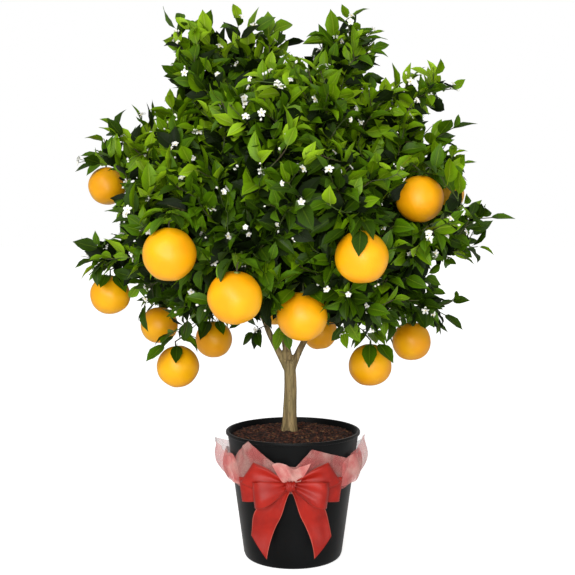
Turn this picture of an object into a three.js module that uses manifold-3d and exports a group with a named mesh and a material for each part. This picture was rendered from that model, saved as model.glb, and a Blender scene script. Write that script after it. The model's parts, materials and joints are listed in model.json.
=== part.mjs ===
// A small standard orange tree in a black nursery pot, with a gauze wrap and a ribbon bow round the pot.
// Millimetres, +Z up, the front towards -Y. The origin is the middle of the pot's flat underside.
import * as THREE from "three";
import { mergeVertices } from "three/addons/utils/BufferGeometryUtils.js";
import Module from "manifold-3d";

const wasm = await Module();
wasm.setup();

// Clearance kept between pieces that touch
const clearance = 0.3;

// Pot: a tapered, thin-walled tub with a lip
const potHeight = 208;
const potTopRadius = 108;
const potFootRadius = 80;
const potWall = 2.2;
const potFloor = 3;
const potEdgeRound = 6;
const lipReach = 2.2;
const lipHeight = 5;
const roundSides = 48;

// Soil: filled to below the lip and mounded towards the trunk
const soilBelowLip = 10;
const soilMound = 8;
const soilFlatRadius = 18;

// Trunk: from the flat cut on the soil to the fork
const trunkFoot = new THREE.Vector3(-6, 0, potHeight - soilBelowLip + soilMound + clearance);
const forkHeight = 322;
const trunkFootRadius = 12.6;
const trunkTopRadius = 9;
const rootFlare = 3.2;
const trunkSides = 12;
const boughSides = 10;
const limbSteps = 9;

// Gauze wrap: a gathered band round the upper half of the pot, with points that stand up
const wrapBottom = 125;
const wrapValley = 174;
const wrapPeaks = [[-86, 189], [-40, 201], [14, 197], [84, 193], [130, 198], [180, 196], [230, 199]];
const wrapPeakWidth = 18;
const wrapCling = 2.5;
const wrapStandOff = 7;
const wrapSideStandOff = 21;

// Bow: drawn flat on the front and then bent gently back round the pot
const bowCentreX = -4;
const bowCentreHeight = 145.5;
const bowBackY = -113.5;
const bowBendRadius = 160;
const loopThickness = 21;
const loopBevel = 5;
const tailThickness = 5;
const knotHalf = new THREE.Vector3(9, 9, 11);

// Surface tone of each kind of piece
const potBlack = { color: 0x24282a, roughness: 0.45, metalness: 0 };
const soilBrown = { color: 0x3a2118, roughness: 0.95, metalness: 0 };
const barkBrown = { color: 0x85715a, roughness: 0.85, metalness: 0 };
const leafGreen = { color: 0x3c6e14, roughness: 0.5, metalness: 0 };
const gauzePink = { color: 0xf09a94, roughness: 0.8, metalness: 0 };
const ribbonRed = { color: 0xc8352b, roughness: 0.5, metalness: 0 };

const tree = new THREE.Group();

function addPiece(name, geometry, tone) {
  const piece = new THREE.Mesh(geometry, new THREE.MeshStandardMaterial(tone));
  piece.name = name;
  tree.add(piece);
}

// ---- joining and cutting ----

function solidFrom(geometry) {
  const bare = geometry.clone();
  bare.deleteAttribute("normal");
  bare.deleteAttribute("uv");
  const merged = mergeVertices(bare, 1e-3);
  return new wasm.Manifold(
    new wasm.Mesh({
      numProp: 3,
      vertProperties: new Float32Array(merged.attributes.position.array),
      triVerts: new Uint32Array(merged.index.array),
    }),
  );
}

function geometryFrom(solid) {
  const mesh = solid.getMesh();
  const geometry = new THREE.BufferGeometry();
  geometry.setAttribute("position", new THREE.BufferAttribute(mesh.vertProperties, 3));
  geometry.setIndex(new THREE.BufferAttribute(mesh.triVerts, 1));
  return geometry;
}

// Moves every vertex of a geometry to where the given function says.
function reshape(geometry, placeOf) {
  const position = geometry.attributes.position;
  const vertex = new THREE.Vector3();
  for (let i = 0; i < position.count; i += 1) {
    vertex.fromBufferAttribute(position, i);
    placeOf(vertex);
    position.setXYZ(i, vertex.x, vertex.y, vertex.z);
  }
  return geometry;
}

// Lathes a profile given as [radius, height] pairs round the Z axis.
function turned(profile, sides) {
  const points = profile.map(([radius, height]) => new THREE.Vector2(radius, height));
  return new THREE.LatheGeometry(points, sides).rotateX(Math.PI / 2);
}

// ---- pot and soil ----

function potRadiusAt(height) {
  return THREE.MathUtils.lerp(potFootRadius, potTopRadius, height / potHeight);
}

function arcPoints(centreRadius, centreHeight, radius, from, to, steps) {
  const points = [];
  for (let i = 0; i <= steps; i += 1) {
    const angle = THREE.MathUtils.degToRad(THREE.MathUtils.lerp(from, to, i / steps));
    points.push([centreRadius + radius * Math.cos(angle), centreHeight + radius * Math.sin(angle)]);
  }
  return points;
}

function potGeometry() {
  const roundSteps = 3;
  const lipOuter = potTopRadius + lipReach;
  const profile = [
    [0, 0],
    ...arcPoints(potFootRadius - potEdgeRound, potEdgeRound, potEdgeRound, -90, -5, roundSteps),
    [potRadiusAt(potHeight - lipHeight), potHeight - lipHeight],
    [lipOuter, potHeight - lipHeight + 1],
    [lipOuter, potHeight - 1],
    [lipOuter - 1, potHeight],
    [potTopRadius - potWall, potHeight],
    [potRadiusAt(potFloor) - potWall, potFloor],
    [0, potFloor],
  ];
  return turned(profile, roundSides);
}

function soilGeometry() {
  const edgeHeight = potHeight - soilBelowLip;
  const reachAt = (height) => potRadiusAt(height) - potWall - 2 * clearance;
  const foot = potFloor + clearance;
  const moundSteps = 3;
  const profile = [
    [0, foot],
    [reachAt(foot), foot],
  ];
  for (let i = 0; i <= moundSteps; i += 1) {
    const share = i / moundSteps;
    const rise = soilMound * Math.sin((share * Math.PI) / 2);
    profile.push([THREE.MathUtils.lerp(reachAt(edgeHeight), soilFlatRadius, share), edgeHeight + rise]);
  }
  profile.push([0, edgeHeight + soilMound]);
  return turned(profile, roundSides);
}

// ---- trunk and boughs ----

// A limb is a closed cylinder whose rings are laid along a curve, each with its own radius.
function limb(route, radiusAt, sides, steps) {
  const curve = new THREE.CatmullRomCurve3(route);
  const frames = curve.computeFrenetFrames(steps, false);
  const straight = new THREE.CylinderGeometry(1, 1, 1, sides, steps);
  return reshape(straight, (v) => {
    const along = v.y + 0.5;
    const ring = Math.round(along * steps);
    const radius = radiusAt(along);
    const across = frames.normals[ring].clone().multiplyScalar(v.x * radius);
    const over = frames.binormals[ring].clone().multiplyScalar(-v.z * radius);
    v.copy(curve.getPointAt(along)).add(across).add(over);
  });
}

function trunkGeometry() {
  const route = [
    trunkFoot,
    new THREE.Vector3(-5, 0, 245),
    new THREE.Vector3(-4, 1, 283),
    new THREE.Vector3(-6, 0, forkHeight),
  ];
  const radiusAt = (along) => {
    const flare = rootFlare * Math.exp(-along * 9);
    return THREE.MathUtils.lerp(trunkFootRadius, trunkTopRadius, Math.sqrt(along)) + flare;
  };
  const trunk = limb(route, radiusAt, trunkSides, limbSteps);
  // The foot is a flat cut, level with the soil.
  return reshape(trunk, (v) => {
    v.z = Math.max(v.z, trunkFoot.z);
  });
}

const boughPlans = [
  {
    name: "bough_left",
    route: [[-8, 0, 306], [-23, 0, 335], [-38, -2, 366], [-58, 0, 410], [-100, 4, 452]],
    foot: 5.6,
    tip: 4,
  },
  {
    name: "bough_middle",
    route: [[-6, 1, 314], [-11, 4, 345], [-15, 8, 380], [-12, 10, 420], [-4, 8, 470]],
    foot: 7,
    tip: 5,
  },
  {
    name: "bough_right",
    route: [[-3, 0, 308], [11, -2, 340], [26, -4, 368], [52, -2, 405], [95, 0, 448]],
    foot: 5.8,
    tip: 4,
  },
];

// ---- foliage masses ----

// Each mass has its middle given by a bearing seen from above (0 to the right, 90 to the back),
// a reach from the axis and a height, then its half sizes across, outwards and up.
// shoots counts the shoots that stand out of it, and fine marks the masses with slender tips.
const massPlans = [
  { name: "foliage_core_low", bearing: 90, reach: 0, height: 470, size: [104, 104, 88], shoots: 4 },
  { name: "foliage_core_high", bearing: 90, reach: 0, height: 640, size: [118, 112, 102], shoots: 4 },
  { name: "foliage_left_arm", bearing: 182, reach: 240, height: 618, size: [84, 92, 78], shoots: 6 },
  { name: "foliage_left_low", bearing: 178, reach: 254, height: 474, size: [78, 78, 58], shoots: 6 },
  { name: "foliage_left_skirt", bearing: 198, reach: 172, height: 412, size: [64, 68, 52], shoots: 5 },
  { name: "foliage_left_back", bearing: 138, reach: 234, height: 545, size: [94, 88, 92], shoots: 6 },
  { name: "foliage_left_front", bearing: 226, reach: 230, height: 548, size: [94, 88, 88], shoots: 6 },
  { name: "foliage_left_shoulder", bearing: 186, reach: 158, height: 685, size: [76, 72, 60], shoots: 5 },
  { name: "foliage_right_arm", bearing: 2, reach: 198, height: 622, size: [84, 76, 74], shoots: 6 },
  { name: "foliage_right_low", bearing: -4, reach: 246, height: 532, size: [76, 82, 46], shoots: 6 },
  { name: "foliage_right_skirt", bearing: -12, reach: 172, height: 418, size: [64, 70, 54], shoots: 5 },
  { name: "foliage_right_back", bearing: 44, reach: 228, height: 548, size: [92, 86, 90], shoots: 6 },
  { name: "foliage_right_front", bearing: -47, reach: 222, height: 562, size: [94, 84, 86], shoots: 6 },
  { name: "foliage_right_sprig", bearing: 4, reach: 218, height: 766, size: [34, 70, 34], shoots: 5 },
  { name: "foliage_front_low", bearing: 268, reach: 192, height: 458, size: [80, 74, 70], shoots: 6 },
  { name: "foliage_front_belly", bearing: 270, reach: 212, height: 592, size: [96, 84, 80], shoots: 6 },
  { name: "foliage_back_low", bearing: 92, reach: 196, height: 452, size: [82, 78, 70], shoots: 6 },
  { name: "foliage_back_belly", bearing: 90, reach: 216, height: 592, size: [98, 86, 82], shoots: 6 },
  { name: "foliage_front_shoulder", bearing: 262, reach: 138, height: 712, size: [104, 76, 64], shoots: 6 },
  { name: "foliage_back_shoulder", bearing: 88, reach: 142, height: 710, size: [108, 82, 68], shoots: 6 },
  { name: "foliage_right_front_skirt", bearing: -54, reach: 186, height: 440, size: [66, 62, 60], shoots: 5 },
  { name: "foliage_left_front_skirt", bearing: 232, reach: 188, height: 440, size: [66, 62, 58], shoots: 5 },
  { name: "foliage_right_back_skirt", bearing: 46, reach: 186, height: 436, size: [68, 66, 58], shoots: 5 },
  { name: "foliage_left_back_skirt", bearing: 138, reach: 186, height: 436, size: [68, 66, 58], shoots: 5 },
  { name: "foliage_top_left", bearing: 178, reach: 152, height: 794, size: [70, 52, 84], shoots: 7, fine: true },
  { name: "foliage_top_middle", bearing: 140, reach: 76, height: 796, size: [58, 54, 76], shoots: 6 },
  { name: "foliage_top_right", bearing: 8, reach: 80, height: 802, size: [66, 52, 84], shoots: 7, fine: true },
  { name: "foliage_right_shoulder", bearing: -6, reach: 156, height: 700, size: [70, 64, 56], shoots: 5 },
];

const massMiddle = new THREE.Vector3(0, 0, 560);
const coarseFaces = 2;
const fineFaces = 3;
const massUnevenness = 0.07;
const shootStandOut = 0.24;
const shootSpread = 0.4;

function seeded(seed) {
  let state = seed;
  return () => {
    state = (state * 1664525 + 1013904223) % 4294967296;
    return state / 4294967296;
  };
}

function massCentre(plan) {
  const bearing = THREE.MathUtils.degToRad(plan.bearing);
  return new THREE.Vector3(plan.reach * Math.cos(bearing), plan.reach * Math.sin(bearing), plan.height);
}

// Directions of the shoots that stand out of a mass, most of them away from the middle of all the foliage.
function shootDirections(plan, random) {
  const outwards = massCentre(plan).sub(massMiddle).normalize();
  return Array.from({ length: plan.shoots }, () => {
    const stray = new THREE.Vector3(random() - 0.5, random() - 0.5, random() - 0.5);
    return outwards.clone().add(stray.multiplyScalar(1.9)).normalize();
  });
}

// An uneven ball: a round body with slow waves and a hump for each shoot. grow makes it larger all over.
function massGeometry(plan, index, grow) {
  const random = seeded(97 * index + 11);
  const waves = Array.from({ length: 4 }, () => ({
    along: new THREE.Vector3(random() - 0.5, random() - 0.5, random() - 0.5).multiplyScalar(9),
    phase: random() * 2 * Math.PI,
  }));
  const shoots = shootDirections(plan, random);
  const [across, outwards, up] = plan.size;
  const bearing = THREE.MathUtils.degToRad(plan.bearing);
  const centre = massCentre(plan);
  return reshape(new THREE.IcosahedronGeometry(1, plan.fine ? fineFaces : coarseFaces), (v) => {
    const turnedBack = v.clone().applyAxisAngle(new THREE.Vector3(0, 0, 1), -bearing);
    const wave = waves.reduce((sum, w) => sum + Math.sin(v.dot(w.along) + w.phase), 0);
    const hump = shoots.reduce((most, s) => Math.max(most, Math.exp(-((v.angleTo(s) / shootSpread) ** 2))), 0);
    const swell = 1 + massUnevenness * wave + shootStandOut * hump;
    const halfSize = 1 / Math.hypot(turnedBack.x / outwards, turnedBack.y / across, turnedBack.z / up);
    v.multiplyScalar(halfSize * swell + grow).add(centre);
  });
}

// The half space beyond a plane, as a large block.
function beyond(point, direction) {
  const side = 1200;
  const block = new THREE.BoxGeometry(side, side, side);
  block.translate(0, 0, side / 2);
  const turn = new THREE.Quaternion().setFromUnitVectors(new THREE.Vector3(0, 0, 1), direction);
  return solidFrom(block.applyQuaternion(turn).translate(point.x, point.y, point.z));
}

// Neighbouring masses are parted by a plane between their middles, placed by their sizes.
function partedMasses() {
  const solids = massPlans.map((plan, index) => solidFrom(massGeometry(plan, index, 0)));
  const meanSize = (plan) => (plan.size[0] + plan.size[1] + plan.size[2]) / 3;
  massPlans.forEach((one, i) => {
    massPlans.slice(i + 1).forEach((other, k) => {
      const j = i + 1 + k;
      if (solids[i].intersect(solids[j]).volume() <= 0) return;
      const from = massCentre(one);
      const line = massCentre(other).sub(from);
      const share = meanSize(one) / (meanSize(one) + meanSize(other));
      const direction = line.clone().normalize();
      const middle = from.clone().addScaledVector(line, share);
      const nearSide = middle.clone().addScaledVector(direction, -clearance / 2);
      const farSide = middle.clone().addScaledVector(direction, clearance / 2);
      solids[i] = solids[i].subtract(beyond(nearSide, direction));
      solids[j] = solids[j].subtract(beyond(farSide, direction.clone().negate()));
    });
  });
  return solids;
}

// ---- gauze wrap ----

function wrapTopAt(angle) {
  return wrapPeaks.reduce((highest, [peak, height]) => {
    const away = Math.abs(((angle - peak + 540) % 360) - 180);
    return Math.max(highest, THREE.MathUtils.lerp(wrapValley, height, Math.exp(-((away / wrapPeakWidth) ** 2))));
  }, wrapValley);
}

function wrapGeometry() {
  const band = [
    [0, 0],
    [1, 0],
    [1, 0.5],
    [0.7, 1],
    [0, 1],
    [0, 0],
  ];
  const ring = turned(band.map(([out, up]) => [100 + out, up]), roundSides);
  return reshape(ring, (v) => {
    // 0 is the front and positive angles are to the right
    const angle = THREE.MathUtils.radToDeg(Math.atan2(v.x, -v.y));
    const out = Math.hypot(v.x, v.y) - 100;
    const height = THREE.MathUtils.lerp(wrapBottom, wrapTopAt(angle), v.z);
    const sideways = Math.sin(THREE.MathUtils.degToRad(angle)) ** 8;
    const puff = THREE.MathUtils.lerp(wrapStandOff, wrapSideStandOff, sideways * Math.min(1, v.z * 1.4));
    const radius = potRadiusAt(height) + 2 * clearance + out * (wrapCling + puff * v.z);
    const bearing = Math.atan2(v.y, v.x);
    v.set(radius * Math.cos(bearing), radius * Math.sin(bearing), height);
  });
}

// ---- bow ----

// Bends a flat drawing (x across, y up, z towards the front) back round the pot.
function bentRoundPot(geometry, bottomY) {
  return reshape(geometry, (v) => {
    const [across, up, out] = v.toArray();
    const radius = bowBendRadius + out;
    const angle = across / bowBendRadius;
    const slope = bottomY ? Math.min(0, up) * bottomY : 0;
    v.set(
      bowCentreX + radius * Math.sin(angle),
      bowBackY + bowBendRadius - radius * Math.cos(angle) - slope,
      bowCentreHeight + up,
    );
  });
}

function drawn(outline, thickness, bevel) {
  const shape = new THREE.Shape(outline.map(([x, y]) => new THREE.Vector2(x, y)));
  return new THREE.ExtrudeGeometry(shape, {
    depth: thickness - 2 * bevel,
    bevelEnabled: bevel > 0,
    bevelThickness: bevel,
    bevelSize: bevel,
    bevelOffset: -bevel,
    bevelSegments: 2,
  }).translate(0, 0, bevel);
}

const mirrored = (outline, side) => {
  const points = outline.map(([x, y]) => [side * x, y]);
  return side < 0 ? points.reverse() : points;
};

// The loop widens from the knot to its round outer end; the tail hangs from the knot to a slanting cut.
const loopOutline = [
  [10.5, -9], [26, -24], [44, -34], [62, -33], [74, -24], [78, -6],
  [79, 10], [70, 22], [55, 33], [40, 29], [24, 18], [10.5, 9],
];
const tailOutline = [
  [3, -12], [12, -36.5], [52, -36.5], [60, -60], [67, -86], [38, -116], [25, -84], [12, -48],
];

for (const [side, sideName] of [[-1, "left"], [1, "right"]]) {
  const loop = drawn(mirrored(loopOutline, side), loopThickness, loopBevel);
  addPiece(`bow_loop_${sideName}`, bentRoundPot(loop, 0), ribbonRed);
  const tail = drawn(mirrored(tailOutline, side), tailThickness, 0);
  const potSlope = (potTopRadius - potFootRadius) / potHeight;
  addPiece(`bow_tail_${sideName}`, bentRoundPot(tail, potSlope), ribbonRed);
}

function knotGeometry() {
  return reshape(new THREE.IcosahedronGeometry(1, 2), (v) => {
    const squareness = 0.7;
    const round = (value, half) => Math.sign(value) * Math.abs(value) ** squareness * half;
    v.set(round(v.x, knotHalf.x), round(v.y, knotHalf.y), round(v.z, knotHalf.z));
    v.x += bowCentreX;
    v.y += bowBackY - loopThickness / 2;
    v.z += bowCentreHeight;
  });
}

addPiece("bow_knot", knotGeometry(), ribbonRed);
addPiece("gauze_wrap", wrapGeometry(), gauzePink);
addPiece("pot", potGeometry(), potBlack);
addPiece("soil", soilGeometry(), soilBrown);

const trunkShape = trunkGeometry();
addPiece("trunk", trunkShape, barkBrown);

const masses = partedMasses();
masses.forEach((solid, index) => addPiece(massPlans[index].name, geometryFrom(solid), leafGreen));

// Boughs end where they enter a mass, and start on the trunk and on each other.
let taken = solidFrom(limbGrown(trunkShape));
massPlans.forEach((plan, index) => {
  taken = taken.add(solidFrom(massGeometry(plan, index, 2 * clearance)));
});

// A limb's surface moved out by the clearance, along its own normals.
function limbGrown(geometry) {
  const bare = geometry.clone();
  bare.deleteAttribute("normal");
  bare.deleteAttribute("uv");
  const grown = mergeVertices(bare, 1e-3);
  grown.computeVertexNormals();
  const { position, normal } = grown.attributes;
  for (let i = 0; i < position.count; i += 1) {
    position.setXYZ(
      i,
      position.getX(i) + 2 * clearance * normal.getX(i),
      position.getY(i) + 2 * clearance * normal.getY(i),
      position.getZ(i) + 2 * clearance * normal.getZ(i),
    );
  }
  return grown;
}

for (const plan of boughPlans) {
  const route = plan.route.map((point) => new THREE.Vector3(...point));
  const radiusAt = (along) => THREE.MathUtils.lerp(plan.foot, plan.tip, along);
  const whole = limb(route, radiusAt, boughSides, limbSteps);
  const bough = solidFrom(whole).subtract(taken);
  const parts = bough.decompose().sort((a, b) => b.volume() - a.volume());
  addPiece(plan.name, geometryFrom(parts[0]), barkBrown);
  taken = taken.add(solidFrom(limbGrown(whole)));
}

export default tree;
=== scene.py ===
import json
import math
import random

import bmesh
import bpy
import numpy as np
from mathutils import Euler, Matrix, Vector, noise

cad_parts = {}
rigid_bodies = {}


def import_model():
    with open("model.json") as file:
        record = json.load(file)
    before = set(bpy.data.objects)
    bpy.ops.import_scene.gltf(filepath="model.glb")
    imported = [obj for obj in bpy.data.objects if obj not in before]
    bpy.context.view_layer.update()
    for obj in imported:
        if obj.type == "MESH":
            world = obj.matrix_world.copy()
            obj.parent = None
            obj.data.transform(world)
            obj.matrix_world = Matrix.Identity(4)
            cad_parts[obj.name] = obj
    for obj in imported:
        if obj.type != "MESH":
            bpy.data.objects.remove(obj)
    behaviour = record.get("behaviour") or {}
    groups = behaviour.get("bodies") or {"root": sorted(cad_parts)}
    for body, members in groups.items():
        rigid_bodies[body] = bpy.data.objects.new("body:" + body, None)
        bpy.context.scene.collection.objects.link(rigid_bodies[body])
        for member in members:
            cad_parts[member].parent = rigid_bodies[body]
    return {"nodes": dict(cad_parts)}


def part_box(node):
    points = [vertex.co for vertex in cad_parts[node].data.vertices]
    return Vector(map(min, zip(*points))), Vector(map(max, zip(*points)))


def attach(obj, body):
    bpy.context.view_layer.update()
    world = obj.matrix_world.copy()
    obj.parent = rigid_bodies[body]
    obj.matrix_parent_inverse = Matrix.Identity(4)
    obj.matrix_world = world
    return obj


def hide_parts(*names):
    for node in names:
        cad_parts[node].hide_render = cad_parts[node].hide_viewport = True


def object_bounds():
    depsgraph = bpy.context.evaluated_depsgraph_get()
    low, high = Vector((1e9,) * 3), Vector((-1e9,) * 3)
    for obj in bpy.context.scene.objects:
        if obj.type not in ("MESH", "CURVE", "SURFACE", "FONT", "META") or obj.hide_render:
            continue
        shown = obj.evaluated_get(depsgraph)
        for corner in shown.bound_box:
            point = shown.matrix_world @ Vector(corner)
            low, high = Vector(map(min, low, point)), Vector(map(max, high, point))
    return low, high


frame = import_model()
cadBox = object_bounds()
cad = frame["nodes"]
scene = bpy.context.scene
upward = Vector((0, 0, 1))
white = (1, 1, 1, 1)


def soft(value, low, high):  # smooth step from 0 at low to 1 at high
    t = min(1.0, max(0.0, (value - low) / (high - low)))
    return t * t * (3 - 2 * t)


def mix(a, b, t):
    return a + (b - a) * t


def turns(count):  # even angles round a circle
    return np.linspace(0, math.tau, count, endpoint=False)


def onRing(radius, angle, height=0.0):
    return (radius * math.cos(angle), radius * math.sin(angle), height)


def linear(red, green, blue):  # a screen colour, 0 to 255, as the shader's linear one
    shares = [c / 255 for c in (red, green, blue)]
    return tuple(s / 12.92 if s < 10 / 255 else ((s + 0.055) / 1.055) ** 2.4 for s in shares)


# Nodes: a value for a socket is a constant, set on the socket, or another node's output, linked to it.
def feed(tree, socket, value):
    if hasattr(value, "is_output"):
        tree.links.new(value, socket)
    else:
        socket.default_value = value


def setSockets(tree, node, values):
    for label, value in values.items():
        feed(tree, node.inputs[label], value)
    return node


def addNode(tree, kind, values=None, **settings):
    node = tree.nodes.new(kind)
    for label, value in settings.items():
        setattr(node, label, value)
    return setSockets(tree, node, values or {})


def socketKind(value):  # from a default value, or from the kind's own name
    if isinstance(value, str):
        return "NodeSocket" + value
    if isinstance(value, tuple):
        return "NodeSocketColor" if len(value) == 4 else "NodeSocketVector"
    return "NodeSocketInt" if isinstance(value, int) else "NodeSocketFloat"


def nodeGroup(kind, name, inputs, outputs):
    tree = bpy.data.node_groups.new(name, kind)
    for label, value in inputs.items():
        socket = tree.interface.new_socket(label, in_out="INPUT", socket_type=socketKind(value))
        if not isinstance(value, str):
            socket.default_value = value
    for label, value in outputs.items():
        tree.interface.new_socket(label, in_out="OUTPUT", socket_type=socketKind(value))
    return tree, tree.nodes.new("NodeGroupInput").outputs, tree.nodes.new("NodeGroupOutput")


def putInScene(name, data, place=(0, 0, 0), turn=(0, 0, 0)):
    holder = bpy.data.objects.new(name, data)
    holder.location = place
    holder.rotation_euler = turn
    scene.collection.objects.link(holder)
    return holder


# Camera and light.
studio = {
    "eye": (-0.009, -1.6, 0.534),
    "lookDown": 3.3,  # degrees
    "lens": 61.5,
    "sky": 0.34,
    "keyTurn": (64, 0, -18),
    "keyPower": 1.24,
    "keySpread": 45,
    "panelsAim": (0, 0, 0.45),
    "panels": [  # place, side and power of each
        ((-1.3, -1.7, 1.6), 1.1, 5),
        ((1.5, -1.5, 0.9), 0.9, 3),
        ((-0.25, -2.1, 0.8), 0.7, 14),
        ((0.15, -1.9, 0.22), 0.8, 9),
    ],
}


def makeStudio(plan):
    view = bpy.data.cameras.new("camera")
    view.lens = plan["lens"]
    view.sensor_width = 36
    view.clip_start = 0.05
    scene.camera = putInScene("camera", view, plan["eye"], (math.radians(90 - plan["lookDown"]), 0, 0))
    scene.view_settings.view_transform = "Standard"

    world = bpy.data.worlds.new("paleRoom")
    world.use_nodes = True
    tree = world.node_tree
    light = setSockets(tree, tree.nodes["Background"], {"Strength": plan["sky"], "Color": white}).outputs[0]
    seen = addNode(tree, "ShaderNodeBackground", {"Color": white}).outputs[0]  # the room itself shows white
    path = addNode(tree, "ShaderNodeLightPath").outputs["Is Camera Ray"]
    blend = addNode(tree, "ShaderNodeMixShader", {0: path, 1: light, 2: seen})
    setSockets(tree, tree.nodes["World Output"], {"Surface": blend.outputs[0]})
    scene.world = world

    key = bpy.data.lights.new("keySun", "SUN")
    key.energy = plan["keyPower"]
    key.angle = math.radians(plan["keySpread"])
    putInScene("keySun", key, turn=[math.radians(a) for a in plan["keyTurn"]])
    for i, (place, side, power) in enumerate(plan["panels"]):
        panel = bpy.data.lights.new(f"panel{i}", "AREA")
        panel.size = side
        panel.energy = power
        aim = Vector(plan["panelsAim"]) - Vector(place)
        putInScene(f"panel{i}", panel, place, aim.to_track_quat("-Z", "Y").to_euler())


makeStudio(studio)
print("studio ready")


def gridFaces(rows, columns, start=0, wrap=False):  # quads between rows of places
    span = columns if wrap else columns + 1
    faces = []
    for r in range(rows):
        a = start + r * span
        for i in range(columns):
            n = (i + 1) % span
            faces.append((a + i, a + n, a + span + n, a + span + i))
    return faces


def ballFaces(rows, around, start=0, flip=False):  # rings of places closed by a single place at each end
    faces = []
    last = start + 1 + (rows - 1) * around
    for k in range(around):
        n = (k + 1) % around
        faces.append((start, start + 1 + n, start + 1 + k))
        for r in range(rows - 2):
            a = start + 1 + r * around
            faces.append((a + k, a + n, a + around + n, a + around + k))
        faces.append((last - around + k, last - around + n, last))
    return [(face[0], *face[:0:-1]) for face in faces] if flip else faces


def pieceFrom(name, places, faces, material, uv=None):
    mesh = bpy.data.meshes.new(name)
    mesh.from_pydata([tuple(p) for p in places], [], faces)
    mesh.materials.append(material)
    mesh.polygons.foreach_set("use_smooth", [True] * len(mesh.polygons))
    if uv:
        mapName, coordinates = uv
        layer = mesh.uv_layers.new(name=mapName)
        for loop in mesh.loops:
            layer.data[loop.index].uv = coordinates[loop.vertex_index]
    return putInScene(name, mesh)


def settle(piece, slotName, *standsFor):  # on the part's one body
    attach(piece, "root")
    if standsFor:
        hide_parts(*standsFor)


def baked(holder, name):  # the holder's modifiers become a plain mesh, and the holder goes
    graph = bpy.context.evaluated_depsgraph_get()
    whole = holder.evaluated_get(graph)
    mesh = bpy.data.meshes.new_from_object(whole, preserve_all_data_layers=True, depsgraph=graph)
    mesh.name = name
    piece = putInScene(name, mesh)
    bpy.data.objects.remove(holder)
    return piece


def withTree(holder, tree, **values):  # adds a Geometry Nodes modifier with its inputs set by identifier
    modifier = holder.modifiers.new(tree.name, "NODES")
    modifier.node_group = tree
    for item in tree.interface.items_tree:
        if item.item_type == "SOCKET" and item.in_out == "INPUT" and item.name in values:
            modifier[item.identifier] = values[item.name]
    return holder


def growthTree(name, inputs):
    return nodeGroup("GeometryNodeTree", name, {**inputs, "Material": "Material"}, {"Geometry": "Geometry"})


def finishTree(tree, entry, result, geometry, smooth=False):
    geometry = addNode(tree, "GeometryNodeRealizeInstances", {"Geometry": geometry}).outputs[0]
    if smooth:
        shade = {"Geometry": geometry, "Shade Smooth": True}
        geometry = addNode(tree, "GeometryNodeSetShadeSmooth", shade).outputs[0]
    paint = addNode(tree, "GeometryNodeSetMaterial", {"Geometry": geometry, "Material": entry["Material"]})
    setSockets(tree, result, {"Geometry": paint.outputs[0]})
    return tree


def namedValue(tree, name, kind):
    node = addNode(tree, "GeometryNodeInputNamedAttribute", {"Name": name}, data_type=kind)
    return node.outputs["Attribute"]


def product(tree, a, b):
    return addNode(tree, "ShaderNodeMath", {0: a, 1: b}, operation="MULTIPLY").outputs[0]


def shapesOnPoints(tree, entry, points, pick, turn, size):
    choice = {"Collection": entry["Shapes"], "Separate Children": True, "Reset Children": True}
    shapes = addNode(tree, "GeometryNodeCollectionInfo", choice).outputs["Instances"]
    turn = addNode(tree, "FunctionNodeEulerToRotation", {"Euler": turn}).outputs["Rotation"]
    placing = {"Points": points, "Instance": shapes, "Pick Instance": True, "Instance Index": pick}
    placing.update({"Rotation": turn, "Scale": size})
    return addNode(tree, "GeometryNodeInstanceOnPoints", placing).outputs["Instances"]


def sprayTree():  # one shape on every point, with the point's own turn, size and choice of shape
    inputs = {"Points": "Geometry", "Shapes": "Collection", "Size": 1.0}
    tree, entry, result = growthTree("sprayOfShapes", inputs)
    points = addNode(tree, "GeometryNodeMeshToPoints", {"Mesh": entry["Points"]}).outputs["Points"]
    size = product(tree, entry["Size"], namedValue(tree, "size", "FLOAT"))
    pick = namedValue(tree, "shape", "INT")
    turn = namedValue(tree, "turn", "FLOAT_VECTOR")
    return finishTree(tree, entry, result, shapesOnPoints(tree, entry, points, pick, turn, size))


def limbTree():  # a round skin along every curve, as thick as the curve's own radius
    tree, entry, result = growthTree("limbSkin", {"Curves": "Geometry", "Sides": 6, "Thickness": 1.0})
    ring = addNode(tree, "GeometryNodeCurvePrimitiveCircle", {"Resolution": entry["Sides"]}).outputs["Curve"]
    size = product(tree, entry["Thickness"], addNode(tree, "GeometryNodeInputRadius").outputs[0])
    sweep = {"Curve": entry["Curves"], "Profile Curve": ring, "Scale": size, "Fill Caps": True}
    skin = addNode(tree, "GeometryNodeCurveToMesh", sweep).outputs["Mesh"]
    return finishTree(tree, entry, result, skin, smooth=True)


def chance(tree, kind, low, high, seed):
    node = addNode(tree, "FunctionNodeRandomValue", data_type=kind)
    limits = [s for s in node.inputs if s.enabled and s.name in ("Min", "Max")]
    seeds = [s for s in node.inputs if s.name == "Seed"]
    for socket, value in zip((*limits, seeds[0]), (low, high, seed)):
        feed(tree, socket, value)
    return [s for s in node.outputs if s.enabled][0]


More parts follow.
